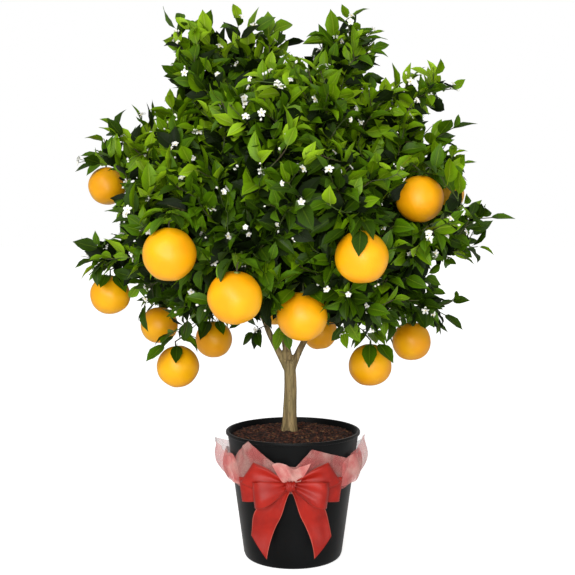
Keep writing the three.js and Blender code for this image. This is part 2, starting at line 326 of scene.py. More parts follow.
def scatterTree():  # shapes strewn over a surface, turned at random
    inputs = {"Surface": "Geometry", "Shapes": "Collection", "Density": 1000.0, "Seed": 1}
    inputs.update({"Smallest": 0.5, "Largest": 1.0, "Tilt": 0.3})
    tree, entry, result = growthTree("strewnShapes", inputs)
    spread = {"Mesh": entry["Surface"], "Density": entry["Density"], "Seed": entry["Seed"]}
    points = addNode(tree, "GeometryNodeDistributePointsOnFaces", spread).outputs["Points"]
    back = product(tree, entry["Tilt"], -1)
    angles = {"Z": chance(tree, "FLOAT", 0, math.tau, entry["Seed"])}
    for axis, seed in (("X", 41), ("Y", 42)):
        angles[axis] = chance(tree, "FLOAT", back, entry["Tilt"], seed)
    turn = addNode(tree, "ShaderNodeCombineXYZ", angles).outputs[0]
    pick = chance(tree, "INT", 0, 9, entry["Seed"])
    size = chance(tree, "FLOAT", entry["Smallest"], entry["Largest"], entry["Seed"])
    return finishTree(tree, entry, result, shapesOnPoints(tree, entry, points, pick, turn, size))


spraying = sprayTree()
skinning = limbTree()
strewing = scatterTree()
shapeBoxes = []


def shapeBox(name, makers):  # the shapes wait in a collection outside the scene
    box = bpy.data.collections.new(name)
    shapeBoxes.append(box)
    for i, (places, faces, uv) in enumerate(makers):
        shape = pieceFrom(f"{name}{i:02d}", places, faces, None, uv)
        scene.collection.objects.unlink(shape)
        box.objects.link(shape)
    return box


def spray(name, points, shapes, material):  # points are (place, turn, size, shape)
    places, *rest = zip(*points)
    mesh = bpy.data.meshes.new(name + "Points")
    mesh.from_pydata([tuple(p) for p in places], [], [])
    kinds = (("turn", "FLOAT_VECTOR", "vector"), ("size", "FLOAT", "value"), ("shape", "INT", "value"))
    for (label, kind, field), values in zip(kinds, rest):
        flat = np.array([tuple(v) if label == "turn" else v for v in values]).ravel()
        mesh.attributes.new(label, kind, "POINT").data.foreach_set(field, flat)
    holder = putInScene(name + "Points", mesh)
    return baked(withTree(holder, spraying, Shapes=shapes, Material=material), name)


def limbs(name, runs, material, sides):  # runs are lists of (place, radius)
    curve = bpy.data.curves.new(name + "Runs", "CURVE")
    curve.dimensions = "3D"
    for run in runs:
        line = curve.splines.new("POLY")
        line.points.add(len(run) - 1)
        for point, (place, radius) in zip(line.points, run):
            point.co = (*place, 1)
            point.radius = radius
    holder = putInScene(name + "Runs", curve)
    return baked(withTree(holder, skinning, Sides=sides, Material=material), name)


def mottleGroup():  # cloudy patches between two tones
    inputs = {"Coordinates": (0, 0, 0), "Scale": 10.0, "Detail": 3.0, "Low": 0.35, "High": 0.65}
    inputs.update({"Dark": (0, 0, 0, 1), "Light": white})
    tree, entry, result = nodeGroup("ShaderNodeTree", "mottle", inputs, {"Colour": "Color", "Mask": "Float"})
    cloudy = {"Vector": entry["Coordinates"], "Scale": entry["Scale"], "Detail": entry["Detail"]}
    clouds = addNode(tree, "ShaderNodeTexNoise", cloudy).outputs["Fac"]
    limits = {"Value": clouds, "From Min": entry["Low"], "From Max": entry["High"]}
    mask = addNode(tree, "ShaderNodeMapRange", limits, interpolation_type="SMOOTHSTEP").outputs["Result"]
    tones = {"Factor": mask, 6: entry["Dark"], 7: entry["Light"]}
    colour = addNode(tree, "ShaderNodeMix", tones, data_type="RGBA").outputs[2]
    setSockets(tree, result, {"Colour": colour, "Mask": mask})
    return tree


def grainGroup():  # fine relief
    inputs = {"Coordinates": (0, 0, 0), "Scale": 600.0, "Strength": 0.2, "Depth": 0.0005}
    outputs = {"Normal": "Vector", "Height": "Float"}
    tree, entry, result = nodeGroup("ShaderNodeTree", "grain", inputs, outputs)
    cloudy = {"Vector": entry["Coordinates"], "Scale": entry["Scale"], "Detail": 3}
    height = addNode(tree, "ShaderNodeTexNoise", cloudy).outputs["Fac"]
    relief = {"Height": height, "Strength": entry["Strength"], "Distance": entry["Depth"]}
    normal = addNode(tree, "ShaderNodeBump", relief).outputs["Normal"]
    setSockets(tree, result, {"Normal": normal, "Height": height})
    return tree


def weaveGroup():  # over and under of two threads, along a cloth's own map
    inputs = {"Coordinates": (0, 0, 0), "Threads": 1000.0}
    tree, entry, result = nodeGroup("ShaderNodeTree", "weave", inputs, {"Height": "Float", "Mask": "Float"})
    waves = {}
    for i, direction in enumerate("XY"):
        along = {"Vector": entry["Coordinates"], "Scale": entry["Threads"]}
        waves[i] = addNode(tree, "ShaderNodeTexWave", along, bands_direction=direction).outputs["Fac"]
    over = addNode(tree, "ShaderNodeMath", waves, operation="MAXIMUM").outputs[0]
    setSockets(tree, result, {"Height": over, "Mask": product(tree, waves[0], waves[1])})
    return tree


mottle = mottleGroup()
grain = grainGroup()
weave = weaveGroup()


class Finish:  # a material under way
    def __init__(self, name, colour, roughness, more=None):
        self.material = bpy.data.materials.new(name)
        self.material.use_nodes = True
        self.tree = self.material.node_tree
        self.shader = self.tree.nodes["Principled BSDF"]
        values = {"Base Color": (*colour, 1), "Roughness": roughness, **(more or {})}
        setSockets(self.tree, self.shader, values)

    def add(self, kind, values=None, **settings):
        return addNode(self.tree, kind, values, **settings)

    def group(self, group, **values):
        return self.add("ShaderNodeGroup", values, node_tree=group).outputs

    def coordinates(self, stretch=(1, 1, 1), mapName=None):
        if mapName:
            place = self.add("ShaderNodeUVMap", uv_map=mapName).outputs["UV"]
        else:
            place = self.add("ShaderNodeTexCoord").outputs["Object"]
        return self.add("ShaderNodeMapping", {"Vector": place, "Scale": stretch}).outputs["Vector"]

    def tones(self, dark, light, scale, stretch=(1, 1, 1), **values):
        tones = {"Dark": (*linear(*dark), 1), "Light": (*linear(*light), 1)}
        return self.group(mottle, Coordinates=self.coordinates(stretch), Scale=scale, **tones, **values)

    def fineRelief(self, scale, strength, depth):
        place = self.coordinates()
        return self.group(grain, Coordinates=place, Scale=scale, Strength=strength, Depth=depth)["Normal"]

    def bump(self, height, strength, depth):
        relief = {"Height": height, "Strength": strength, "Distance": depth}
        return self.add("ShaderNodeBump", relief).outputs["Normal"]

    def cells(self, scale, stretch=(1, 1, 1), feature="F1"):  # distance in a field of cells
        place = {"Vector": self.coordinates(stretch), "Scale": scale}
        return self.add("ShaderNodeTexVoronoi", place, feature=feature).outputs["Distance"]

    def math(self, operation, *values):
        return self.add("ShaderNodeMath", dict(enumerate(values)), operation=operation).outputs[0]

    def blend(self, mask, first, second):
        values = {"Factor": mask}
        for socket, tone in ((6, first), (7, second)):
            values[socket] = tone if hasattr(tone, "is_output") else (*tone, 1)
        return self.add("ShaderNodeMix", values, data_type="RGBA").outputs[2]

    def ramp(self, value, low, high, toLow=0.0, toHigh=1.0):
        limits = {"Value": value, "From Min": low, "From Max": high, "To Min": toLow, "To Max": toHigh}
        return self.add("ShaderNodeMapRange", limits, interpolation_type="SMOOTHSTEP").outputs["Result"]

    def wear(self, colour, roughness=None, normal=None, alpha=None):
        looks = {"Base Color": colour, "Roughness": roughness, "Normal": normal, "Alpha": alpha}
        setSockets(self.tree, self.shader, {label: v for label, v in looks.items() if v is not None})
        return self.material


def mottledFinish(name, base, roughness, scale, dark, light, relief=None, **values):
    f = Finish(name, linear(*base), roughness)
    tone = f.tones(dark, light, scale, **values)["Colour"]
    return f.wear(tone, normal=f.fineRelief(*relief) if relief else None)


def potFinish():
    sheen = {"Specular IOR Level": 0.12, "Sheen Weight": 0.1, "Sheen Roughness": 0.35}
    f = Finish("satinBlackPlastic", linear(8, 9, 9), 0.4, sheen)
    film = f.tones((8, 9, 9), (12, 13, 14), 14.0)
    scuff = f.group(mottle, Coordinates=f.coordinates((1, 1, 0.2)), Scale=90.0, Low=0.62, High=0.8)["Mask"]
    rough = f.math("ADD", f.ramp(film["Mask"], 0, 1, 0.36, 0.46), f.math("MULTIPLY", scuff, 0.08))
    return f.wear(film["Colour"], rough, f.fineRelief(900.0, 0.12, 0.0003))


def barkFinish():
    f = Finish("greyBrownBark", linear(128, 108, 74), 0.85)
    base = f.tones((98, 80, 50), (152, 130, 86), 210.0, (1, 1, 0.09), Detail=5.0, Low=0.38, High=0.62)
    olive = f.group(mottle, Coordinates=f.coordinates((1, 1, 0.5)), Scale=38.0, Low=0.42, High=0.68)["Mask"]
    tone = f.blend(f.math("MULTIPLY", olive, 0.4), base["Colour"], linear(126, 118, 72))
    line = f.ramp(f.cells(260.0, (1, 1, 0.13), "DISTANCE_TO_EDGE"), 0.0, 0.07)
    tone = f.blend(f.ramp(line, 0, 1, 0.45, 1.0), linear(92, 74, 50), tone)
    height = f.math("ADD", f.math("MULTIPLY", line, 0.6), f.math("MULTIPLY", base["Mask"], 0.5))
    return f.wear(tone, f.ramp(base["Mask"], 0, 1, 0.9, 0.75), f.bump(height, 0.5, 0.0006))


def leafFinish(name, blade, rib, rough):
    f = Finish(name, blade, rough, {"Specular IOR Level": 0.17})
    across, along, _ = f.add("ShaderNodeSeparateXYZ", {"Vector": f.coordinates(mapName="OFBake")}).outputs
    side = f.math("ABSOLUTE", f.math("SUBTRACT", across, 0.5))
    midrib = f.ramp(side, 0.015, 0.06, 1.0, 0.0)
    slant = f.math("SUBTRACT", f.math("MULTIPLY", along, 9.0), f.math("MULTIPLY", side, 5.0))
    veinWave = f.math("ABSOLUTE", f.math("SUBTRACT", f.math("FRACT", slant), 0.5))
    veins = f.math("MULTIPLY", f.ramp(veinWave, 0.0, 0.14, 1.0, 0.0), f.ramp(side, 0.3, 0.45, 0.16, 0.0))
    # the deepest tone is painted shade at a leaf's foot, the palest a painted sheen towards its edges
    deep, mild, sheenTone = (tuple(c * share for c in blade) for share in (0.45, 0.9, 1.3))
    foot = f.ramp(along, 0.0, 0.55, 0.6, 0.0)  # painted shade: a leaf is darker towards its stalk
    body = f.blend(foot, f.blend(f.ramp(side, 0.0, 0.5), mild, sheenTone), deep)
    tone = f.blend(f.math("MULTIPLY", midrib, 0.38), f.blend(veins, body, rib), rib)
    height = f.math("SUBTRACT", f.math("MULTIPLY", veinWave, 0.5), midrib)
    return f.wear(tone, f.ramp(veinWave, 0.0, 0.5, rough + 0.06, rough - 0.03), f.bump(height, 0.45, 0.0006))


def fruitFinish():
    f = Finish("orangePeel", linear(250, 172, 8), 0.4, {"Specular IOR Level": 0.35})
    broad = f.tones((246, 162, 3), (251, 182, 8), 16.0, Detail=2.0, Low=0.3, High=0.7)
    pit = f.ramp(f.cells(620.0), 0.0, 0.42)
    tone = f.blend(f.ramp(pit, 0, 1, 0.88, 1.0), linear(232, 144, 4), broad["Colour"])
    return f.wear(tone, f.ramp(broad["Mask"], 0, 1, 0.42, 0.36), f.bump(pit, 0.35, 0.0005))


def mulchFinish(name, dark, light):
    relief = (1100.0, 0.6, 0.0006)
    return mottledFinish(name, light, 0.92, 240.0, dark, light, relief, Detail=5.0, Low=0.3, High=0.7)


def gauzeFinish(name, thin, thick):  # how much it covers between its threads and on them
    f = Finish(name, linear(226, 134, 130), 0.8)
    threads = f.group(weave, Coordinates=f.coordinates(mapName="clothMap"), Threads=260.0)
    tone = f.tones((216, 112, 108), (228, 170, 160), 34.0, Low=0.36, High=0.66)["Colour"]
    creases = f.group(grain, Coordinates=f.coordinates(), Scale=120.0)["Height"]
    cover = f.ramp(threads["Height"], 0.2, 0.9, thin, thick)
    return f.wear(tone, None, f.bump(creases, 0.5, 0.0012), cover)


def ribbonFinish(name, edgeShare):  # how clearly the woven edge shows
    f = Finish(name, linear(160, 27, 15), 0.38, {"Specular IOR Level": 0.3})
    place = f.coordinates(mapName="clothMap")
    threads = f.group(weave, Coordinates=place, Threads=420.0)
    across = f.add("ShaderNodeSeparateXYZ", {"Vector": place}).outputs["X"]
    half = ribbon["width"] / 2
    edge = f.ramp(f.math("ABSOLUTE", f.math("SUBTRACT", across, half)), half - 0.0016, half - 0.0006)
    tone = f.tones((146, 22, 11), (170, 31, 17), 30.0, Low=0.3, High=0.7)["Colour"]
    colour = f.blend(f.math("MULTIPLY", edge, edgeShare), tone, linear(196, 92, 76))
    height = f.math("ADD", threads["Height"], f.math("MULTIPLY", edge, 1.5))
    return f.wear(colour, f.ramp(threads["Mask"], 0, 1, 0.44, 0.36), f.bump(height, 0.25, 0.0003))


# The pot and the mulch in it.
potLow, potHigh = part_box("pot")
soilLow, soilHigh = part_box("soil")
pot = {
    "height": potHigh.z,
    "lipRadius": (potHigh.x - potLow.x) / 2,
    "footRadius": 0.080,
    "wall": 0.0022,
    "floor": 0.003,
    "edgeRound": 0.006,
    "lipReach": 0.0022,
    "lipHeight": 0.005,
    "recess": 0.0011,  # under the floor, inside the standing ring
    "sides": 144,
}


def potRadius(height):
    top = pot["lipRadius"] - pot["lipReach"]
    return mix(pot["footRadius"], top, height / pot["height"])


def lathe(profile, sides):  # rings of a closed profile, joined on the axis at both ends
    places = [onRing(radius, a, height) for radius, height in profile[1:-1] for a in turns(sides)]
    rings = len(profile) - 2
    faces = gridFaces(rings - 1, sides, wrap=True)
    for end, ring, order in ((profile[0], 0, 1), (profile[-1], rings - 1, -1)):
        places.append((0, 0, end[1]))
        centre = len(places) - 1
        for i in range(sides):
            j = (i + 1) % sides
            faces.append((centre, ring * sides + j, ring * sides + i)[::order])
    return places, faces


def arc(centreRadius, centreHeight, radius, start, end, steps):
    angles = [math.radians(mix(start, end, i / steps)) for i in range(steps + 1)]
    return [(centreRadius + radius * math.cos(a), centreHeight + radius * math.sin(a)) for a in angles]


def makePot():
    top, lip, foot, bend = pot["height"], pot["lipRadius"], pot["footRadius"], pot["edgeRound"]
    wallTop = top - pot["lipHeight"]
    profile = [
        (0, pot["recess"]),
        (foot - 0.016, pot["recess"]),
        (foot - 0.0145, 0.0),
        *arc(foot - bend, bend, bend, -90, -8, 7),
        *[(potRadius(z), z) for z in np.linspace(bend * 1.3, wallTop - 0.0006, 14)],
        (potRadius(wallTop), wallTop),
        *arc(lip - 0.0012, wallTop + 0.0012, 0.0012, -90, 0, 4),
        *arc(lip - 0.0016, top - 0.0016, 0.0016, 0, 90, 5),
        *arc(potRadius(top) - pot["wall"] + 0.0008, top - 0.0008, 0.0008, 90, 180, 4),
        (potRadius(wallTop) - pot["wall"], wallTop),
        (potRadius(pot["floor"]) - pot["wall"], pot["floor"]),
        (0, pot["floor"]),
    ]
    places, faces = lathe(profile, pot["sides"])
    return pieceFrom("potShell", places, faces, potFinish())


settle(makePot(), "pot", "pot")
print("pot made")

mulch = {
    "sizes": (0.55, 1.4),
    "density": 24200,  # chips on a square metre, before the share of each tone
    "tilt": 0.45,
    "chip": (0.0095, 0.0022, 0.0011),  # length, half its width and half its thickness
    "shapes": 10,
    "rings": 22,
    "sides": 96,
    "deck": (12, 40),  # rings and places round the surface that the chips lie on
    "mound": 0.008,  # how much higher the middle is than the edge
    "unevenness": 0.0016,
    "bedTones": ((30, 14, 9), (58, 30, 20)),
    "chipTones": {  # dark and light tone, and share
        "mulchDark": ((34, 16, 10), (62, 33, 22), 0.6),
        "mulchRed": ((58, 28, 16), (94, 50, 30), 0.62),
        "mulchTan": ((84, 54, 32), (118, 82, 52), 0.14),
    },
}


def moundHeight(radius):
    reach = (soilHigh.x - soilLow.x) / 2
    share = min(1.0, max(0.0, (reach - radius) / (reach - 0.018)))
    return soilHigh.z - mulch["mound"] + mulch["mound"] * math.sin(share * math.pi / 2)


def chipShape(rng):  # a shard with a torn outline
    length, width, thick = mulch["chip"]
    length *= rng.uniform(0.5, 1.1)
    width *= rng.uniform(0.5, 1.3)
    bend = rng.uniform(-0.5, 0.5)
    around = 5
    places = []
    for s in (-1, -0.4, 0.3, 1):
        girth = (1 - 0.72 * abs(s) ** 2) * rng.uniform(0.75, 1.1)
        for k in range(around):
            a = math.tau * k / around + 0.5 * s
            aside = math.cos(a) * width * girth + bend * 0.002 * s * s
            places.append((s * length / 2, aside, math.sin(a) * thick * girth + 0.0004 * rng.uniform(-1, 1)))
    faces = [face[::-1] for face in gridFaces(3, around, wrap=True)]
    faces += [tuple(range(around)), tuple(range(3 * around, 4 * around))[::-1]]
    return places, faces, None


def makeMulch():
    reach = (soilHigh.x - soilLow.x) / 2 - 0.0004
    low = pot["floor"] + 0.001
    radii = [mix(reach, 0.004, i / mulch["rings"]) for i in range(mulch["rings"] + 1)]
    profile = [(0, potLow.z + low), (potRadius(pot["floor"]) - pot["wall"] - 0.001, low)]
    profile += [(r, moundHeight(r)) for r in (*radii, 0)]
    places, faces = lathe(profile, mulch["sides"])
    uneven = []
    for x, y, z in places:
        lift = noise.fractal(Vector((x, y, 0.3)) * 60, 0.7, 2.1, 3) * mulch["unevenness"]
        uneven.append((x, y, z + (lift if z > 0.1 else 0)))
    bed = pieceFrom("mulchBed", uneven, faces, mulchFinish("darkMulch", *mulch["bedTones"]))
    settle(bed, "soil", "soil")

    rings, around = mulch["deck"]
    radii = np.linspace(0.012, reach - 0.003, rings)
    spots = [onRing(r * 0.955, a, moundHeight(r) + 0.0012) for r in radii for a in turns(around)]
    deck = pieceFrom("mulchDeck", spots, gridFaces(rings - 1, around, wrap=True), None)
    rng = random.Random(5)
    box = shapeBox("barkChip", [chipShape(rng) for _ in range(mulch["shapes"])])
    least, most = mulch["sizes"]
    for i, (name, (dark, light, share)) in enumerate(mulch["chipTones"].items()):
        holder = putInScene(name + "Deck", deck.data)
        strewn = {"Shapes": box, "Density": mulch["density"] * share, "Seed": 3 + i, "Tilt": mulch["tilt"]}
        strewn.update(Smallest=least, Largest=most, Material=mulchFinish(name + "Wood", dark, light))
        settle(baked(withTree(holder, strewing, **strewn), name), "soil")
    bpy.data.objects.remove(deck)


makeMulch()
print("mulch laid")

# How the tree grows.
treeForm = {
    "seed": 41,
    "crownMiddle": Vector((0, 0, 0.52)),
    "fork": Vector((0, 0, 0.36)),  # roughly, to put the limbs in order of their distance from it
    "trunkRoute": [
        (-0.006, 0, soilHigh.z - 0.003),
        (-0.005, 0, 0.245),
        (-0.004, 0.001, 0.283),
        (-0.006, 0, 0.322),
    ],
    "trunkRadii": (0.0133, 0.0097),
    "flare": 0.0022,  # thickening of the trunk at its foot
    "collar": 0.0022,  # thickening of a bough where it leaves the trunk
    "boughs": {  # the route of each, and its radius at its start and its end
        "left": (
            [
                (-0.008, 0, 0.306), (-0.023, 0, 0.335), (-0.038, -0.002, 0.366),
                (-0.058, 0, 0.41), (-0.1, 0.004, 0.452),
            ],
            (0.0056, 0.004),
        ),
        "middle": (
            [
                (-0.006, 0.001, 0.314), (-0.011, 0.004, 0.345), (-0.015, 0.008, 0.38),
                (-0.012, 0.01, 0.42), (-0.004, 0.008, 0.47),
            ],
            (0.007, 0.005),
        ),
        "right": (
            [
                (-0.003, 0, 0.308), (0.011, -0.002, 0.34), (0.026, -0.004, 0.368),
                (0.052, -0.002, 0.405), (0.095, 0, 0.448),
            ],
            (0.0058, 0.004),
        ),
    },
    "bareBough": 0.42,  # share of a bough that no limb leaves
    "hookHeight": 0.024,  # of the limb that a fruit hangs from, over the fruit
    "joint": 0.017,  # spacing of the joints along a limb
    "thrift": 0.32,  # how much the way back to the trunk counts in where a new limb starts
    "turnCost": 0.28,  # and how much a sharp turn does
    "waver": 0.1,
    "tipRadius": 0.0008,
    "thickening": 2.35,  # power by which branches add up in the limb that carries them
    "thickestTwig": 0.0042,
    "cell": 0.008,  # grid on which the depth inside the crown is known
    "shellDepth": (0.024, 0.046),  # how deep the outer shoots end, at least and at most
    "shellSpacing": 0.027,
    "innerSpacing": 0.038,
    "spireDepth": 0.45,  # how near the surface a spire may end, as a share of the least depth
    "sparseSkirt": 1.5,  # how much further apart the shoots stand at the foot of the crown
    "sparseRim": 0.28,  # and far from the trunk
    "spires": 0.12,  # share of the shoots that may stand out further
}

# Loose sprays that stand out of the crown: where each ends, and which way it points.
looseSprays = [
    ((-0.285, 0.0, 0.700), (-0.4, 0, 0.9)),
    ((-0.240, -0.03, 0.706), (0.3, -0.1, 0.9)),
    ((-0.312, -0.02, 0.508), (-0.8, -0.2, 0.5)),
    ((-0.186, 0.0, 0.862), (0, 0, 1)),
    ((-0.088, 0.0, 0.866), (0.1, 0, 1)),
    ((0.088, 0.0, 0.872), (0.1, 0, 1)),
    ((0.225, -0.01, 0.786), (0.3, 0, 0.9)),
    ((0.255, -0.02, 0.698), (0.5, 0, 0.8)),
    ((0.210, -0.06, 0.466), (0.6, -0.3, -0.4)),
    ((0.232, 0.02, 0.384), (0.9, 0, -0.3)),
    ((0.150, -0.02, 0.372), (0.5, -0.2, -0.6)),
    ((0.078, -0.09, 0.384), (-0.2, -0.3, -0.8)),
    ((-0.060, -0.05, 0.374), (-0.4, -0.3, -0.7)),
    ((-0.012, -0.07, 0.378), (0.1, -0.3, -0.8)),
    ((-0.236, -0.05, 0.414), (-0.8, -0.2, -0.3)),
    ((-0.205, 0.03, 0.362), (-0.7, 0, -0.5)),
    ((-0.05, 0.22, 0.40), (-0.2, 0.7, -0.5)),
    ((0.12, 0.23, 0.42), (0.3, 0.7, -0.4)),
    ((-0.02, 0.12, 0.866), (0, 0.2, 1)),
]
# Fruit: bearing seen from above (0 right, -90 front), reach and height in mm, radius in mm,
# and how clear of leaves its outer side is, from 0 to 1.
fruitPlan = [
    (164, 331, 611, 32.5, 0.85),
    (-124, 306, 502, 37, 1.02),
    (169, 315, 426, 33.8, 0.97),
    (-106, 290, 444, 37, 1.04),
    (-86, 176, 410, 37, 0.96),
    (-70, 271, 498, 37, 0.9),
    (-38, 236, 581, 35.5, 1.0),
    (17, 269, 595, 34, 0.5),
    (159, 211, 302, 36.3, 0.97),
    (126, 246, 335, 34.3, 0.95),
    (148, 281, 366, 33, 0.6),
    (76, 206, 348, 32.5, 0.8),
    (25, 145, 306, 36.5, 0.97),
    (32, 248, 339, 34.4, 0.85),
    (58, 262, 470, 36, 0.95),
    (88, 282, 560, 35, 0.95),
    (112, 268, 455, 34, 0.9),
    (132, 290, 610, 34, 0.85),
    (66, 232, 655, 33, 0.85),
    (98, 236, 392, 34, 1.0),
]
fruitInFront = 14  # the first of them face the front, the others stand behind
keyAim = Euler([math.radians(a) for a in studio["keyTurn"]]).to_matrix() @ upward
fruits = []
for i, (bearing, reach, height, radius, clear) in enumerate(fruitPlan):
    at = Vector(onRing(reach, math.radians(bearing), height)) / 1000
    out = Vector(studio["eye"]) - at if i < fruitInFront else Vector((at.x, at.y, 0.02))
    out.normalize()  # the way that the fruit looks out of the leaves
    lit = (out + keyAim).normalized()
    fruits.append({"at": at, "radius": radius / 1000, "clear": clear, "out": out, "lit": lit})


def inFruitWindow(place, slack=0.0):
    for fruit in fruits:
        offset = place - fruit["at"]
        if offset.length < fruit["radius"] + 0.004 + slack:
            return True
        for out, share, far in ((fruit["out"], 1, 9), (fruit["lit"], 0.8, 0.09)):
            along = offset.dot(out)
            clear = fruit["radius"] * (fruit["clear"] * share)
            if 0 < along < far and (offset - out * along).length < clear + slack:
                return True
    return False


def smoothRoute(points, spacing):  # an even walk along a soft curve through the points
    route = [Vector(p) for p in points]
    ends = [route[0] * 2 - route[1], *route, route[-1] * 2 - route[-2]]
    walk = []
    for a, b, c, d in zip(ends, ends[1:], ends[2:], ends[3:]):
        steps = max(2, round((c - b).length / spacing))
        for i in range(steps):
            t = i / steps
            bend = (2 * a - 5 * b + 4 * c - d) * t * t
            walk.append(0.5 * (2 * b + (c - a) * t + bend + (3 * b - a - 3 * c + d) * t**3))
    return walk + [route[-1]]


class Limbs:  # joints in growing order, each with its parent, and whether new limbs may leave it
    def __init__(self, room=40000):
        self.at = np.zeros((room, 3))
        self.way = np.zeros((room, 3))
        self.length = np.zeros(room)
        self.forks = np.zeros(room, bool)
        self.parent = np.full(room, -1)
        self.thick = np.zeros(room)
        self.count = 0

    def add(self, place, parent, forks=True, thick=0.0):
        i = self.count
        self.at[i] = place
        self.parent[i] = parent
        self.forks[i] = forks
        self.thick[i] = thick
        if parent >= 0:
            step = np.array(place) - self.at[parent]
            reach = np.linalg.norm(step)
            self.way[i] = step / max(reach, 1e-6)
            self.length[i] = self.length[parent] + reach
        self.count += 1
        return i

    def grow(self, target, endWay, rng):  # a limb from the joint that suits it best, and its last joint
        n = self.count
        away = np.array(target) - self.at[:n]
        gap = np.maximum(np.linalg.norm(away, axis=1), 1e-6)
        turn = 1 - (away * self.way[:n]).sum(1) / gap
        cost = gap * (1 + treeForm["turnCost"] * turn) + treeForm["thrift"] * self.length[:n]
        cost[~self.forks[:n]] = np.inf
        i = int(np.argmin(cost))
        start, reach = Vector(self.at[i]), float(gap[i])
        straight = (Vector(target) - start).normalized()
        leave = (Vector(self.way[i]) * 0.55 + straight).normalized() * reach
        arrive = (endWay * 0.8 + straight).normalized() * reach
        steps = max(1, round(reach / treeForm["joint"]))
        for k in range(1, steps + 1):
            t = k / steps
            place = (
                start * (2 * t**3 - 3 * t * t + 1)
                + leave * (t**3 - 2 * t * t + t)
                + Vector(target) * (3 * t * t - 2 * t**3)
                + arrive * (t**3 - t * t)
            )
            if k < steps:
                aside = Vector([rng.uniform(-1, 1) for _ in range(3)])
                place += aside * treeForm["joint"] * treeForm["waver"]
            i = self.add(place, i)
        return i


massNames = sorted(n for n in cad if n.startswith("foliage"))


def massMiddle(name):
    places = [v.co for v in cad[name].data.vertices]
    return sum(places, Vector()) / len(places)


def crownVolume():  # how deep each cell of a grid lies in the leaf masses, and which way is out
    cell = treeForm["cell"]
    low = np.array(cadBox[0]) - 4 * cell
    size = np.ceil((np.array(cadBox[1]) - low) / cell).astype(int) + 4
    inside = np.zeros(size, bool)
    for name in massNames:
        ways = np.array([v.co for v in cad[name].data.vertices])
        start = np.floor((ways.min(0) - low) / cell).astype(int)
        stop = np.ceil((ways.max(0) - low) / cell).astype(int) + 1
        middle = ways.mean(0)
        ways -= middle
        reach = np.linalg.norm(ways, axis=1)
        ways /= reach[:, None]
        grid = np.stack(np.meshgrid(*map(np.arange, start, stop), indexing="ij"), -1)
        offset = grid * cell + low - middle
        far = np.maximum(np.linalg.norm(offset, axis=-1), 1e-6)
        near = offset @ ways.T / far[..., None]
        weight = np.exp((near - near.max(-1, keepdims=True)) * 150)
        radius = (weight * reach).sum(-1) / weight.sum(-1)
        inside[tuple(map(slice, start, stop))] |= far < radius
    shut = np.zeros(size, int)  # gaps shut in on five sides or more belong to the crown
    for axis in range(3):
        shut += np.logical_or.accumulate(inside, axis)
        shut += np.flip(np.logical_or.accumulate(np.flip(inside, axis), axis), axis)
    inside |= shut >= 5
    depth = inside.astype(float)
    layer, step = inside, 0
    while layer.any():
        shrunk = layer.copy()
        for axis in range(3):
            source = shrunk.copy() if step % 2 else layer
            shrunk &= np.roll(source, 1, axis) & np.roll(source, -1, axis)
        depth += shrunk
        layer, step = shrunk, step + 1
    slope = depth.copy()
    for _ in range(3):
        for axis in range(3):
            slope = (np.roll(slope, 1, axis) + slope + np.roll(slope, -1, axis)) / 3
    out = -np.stack(np.gradient(slope), -1)
    out /= np.maximum(np.linalg.norm(out, axis=-1, keepdims=True), 1e-6)
    return low, depth * cell, out


def depthAt(place):
    cell = tuple(((np.array(place) - crownLow) / treeForm["cell"] + 0.5).astype(int))
    return crownDepth[cell] if all(0 <= i < n for i, n in zip(cell, crownDepth.shape)) else 0.0


def outwardFrom(place):
    return (place - treeForm["crownMiddle"]).normalized()


crownLow, crownDepth, crownOut = crownVolume()


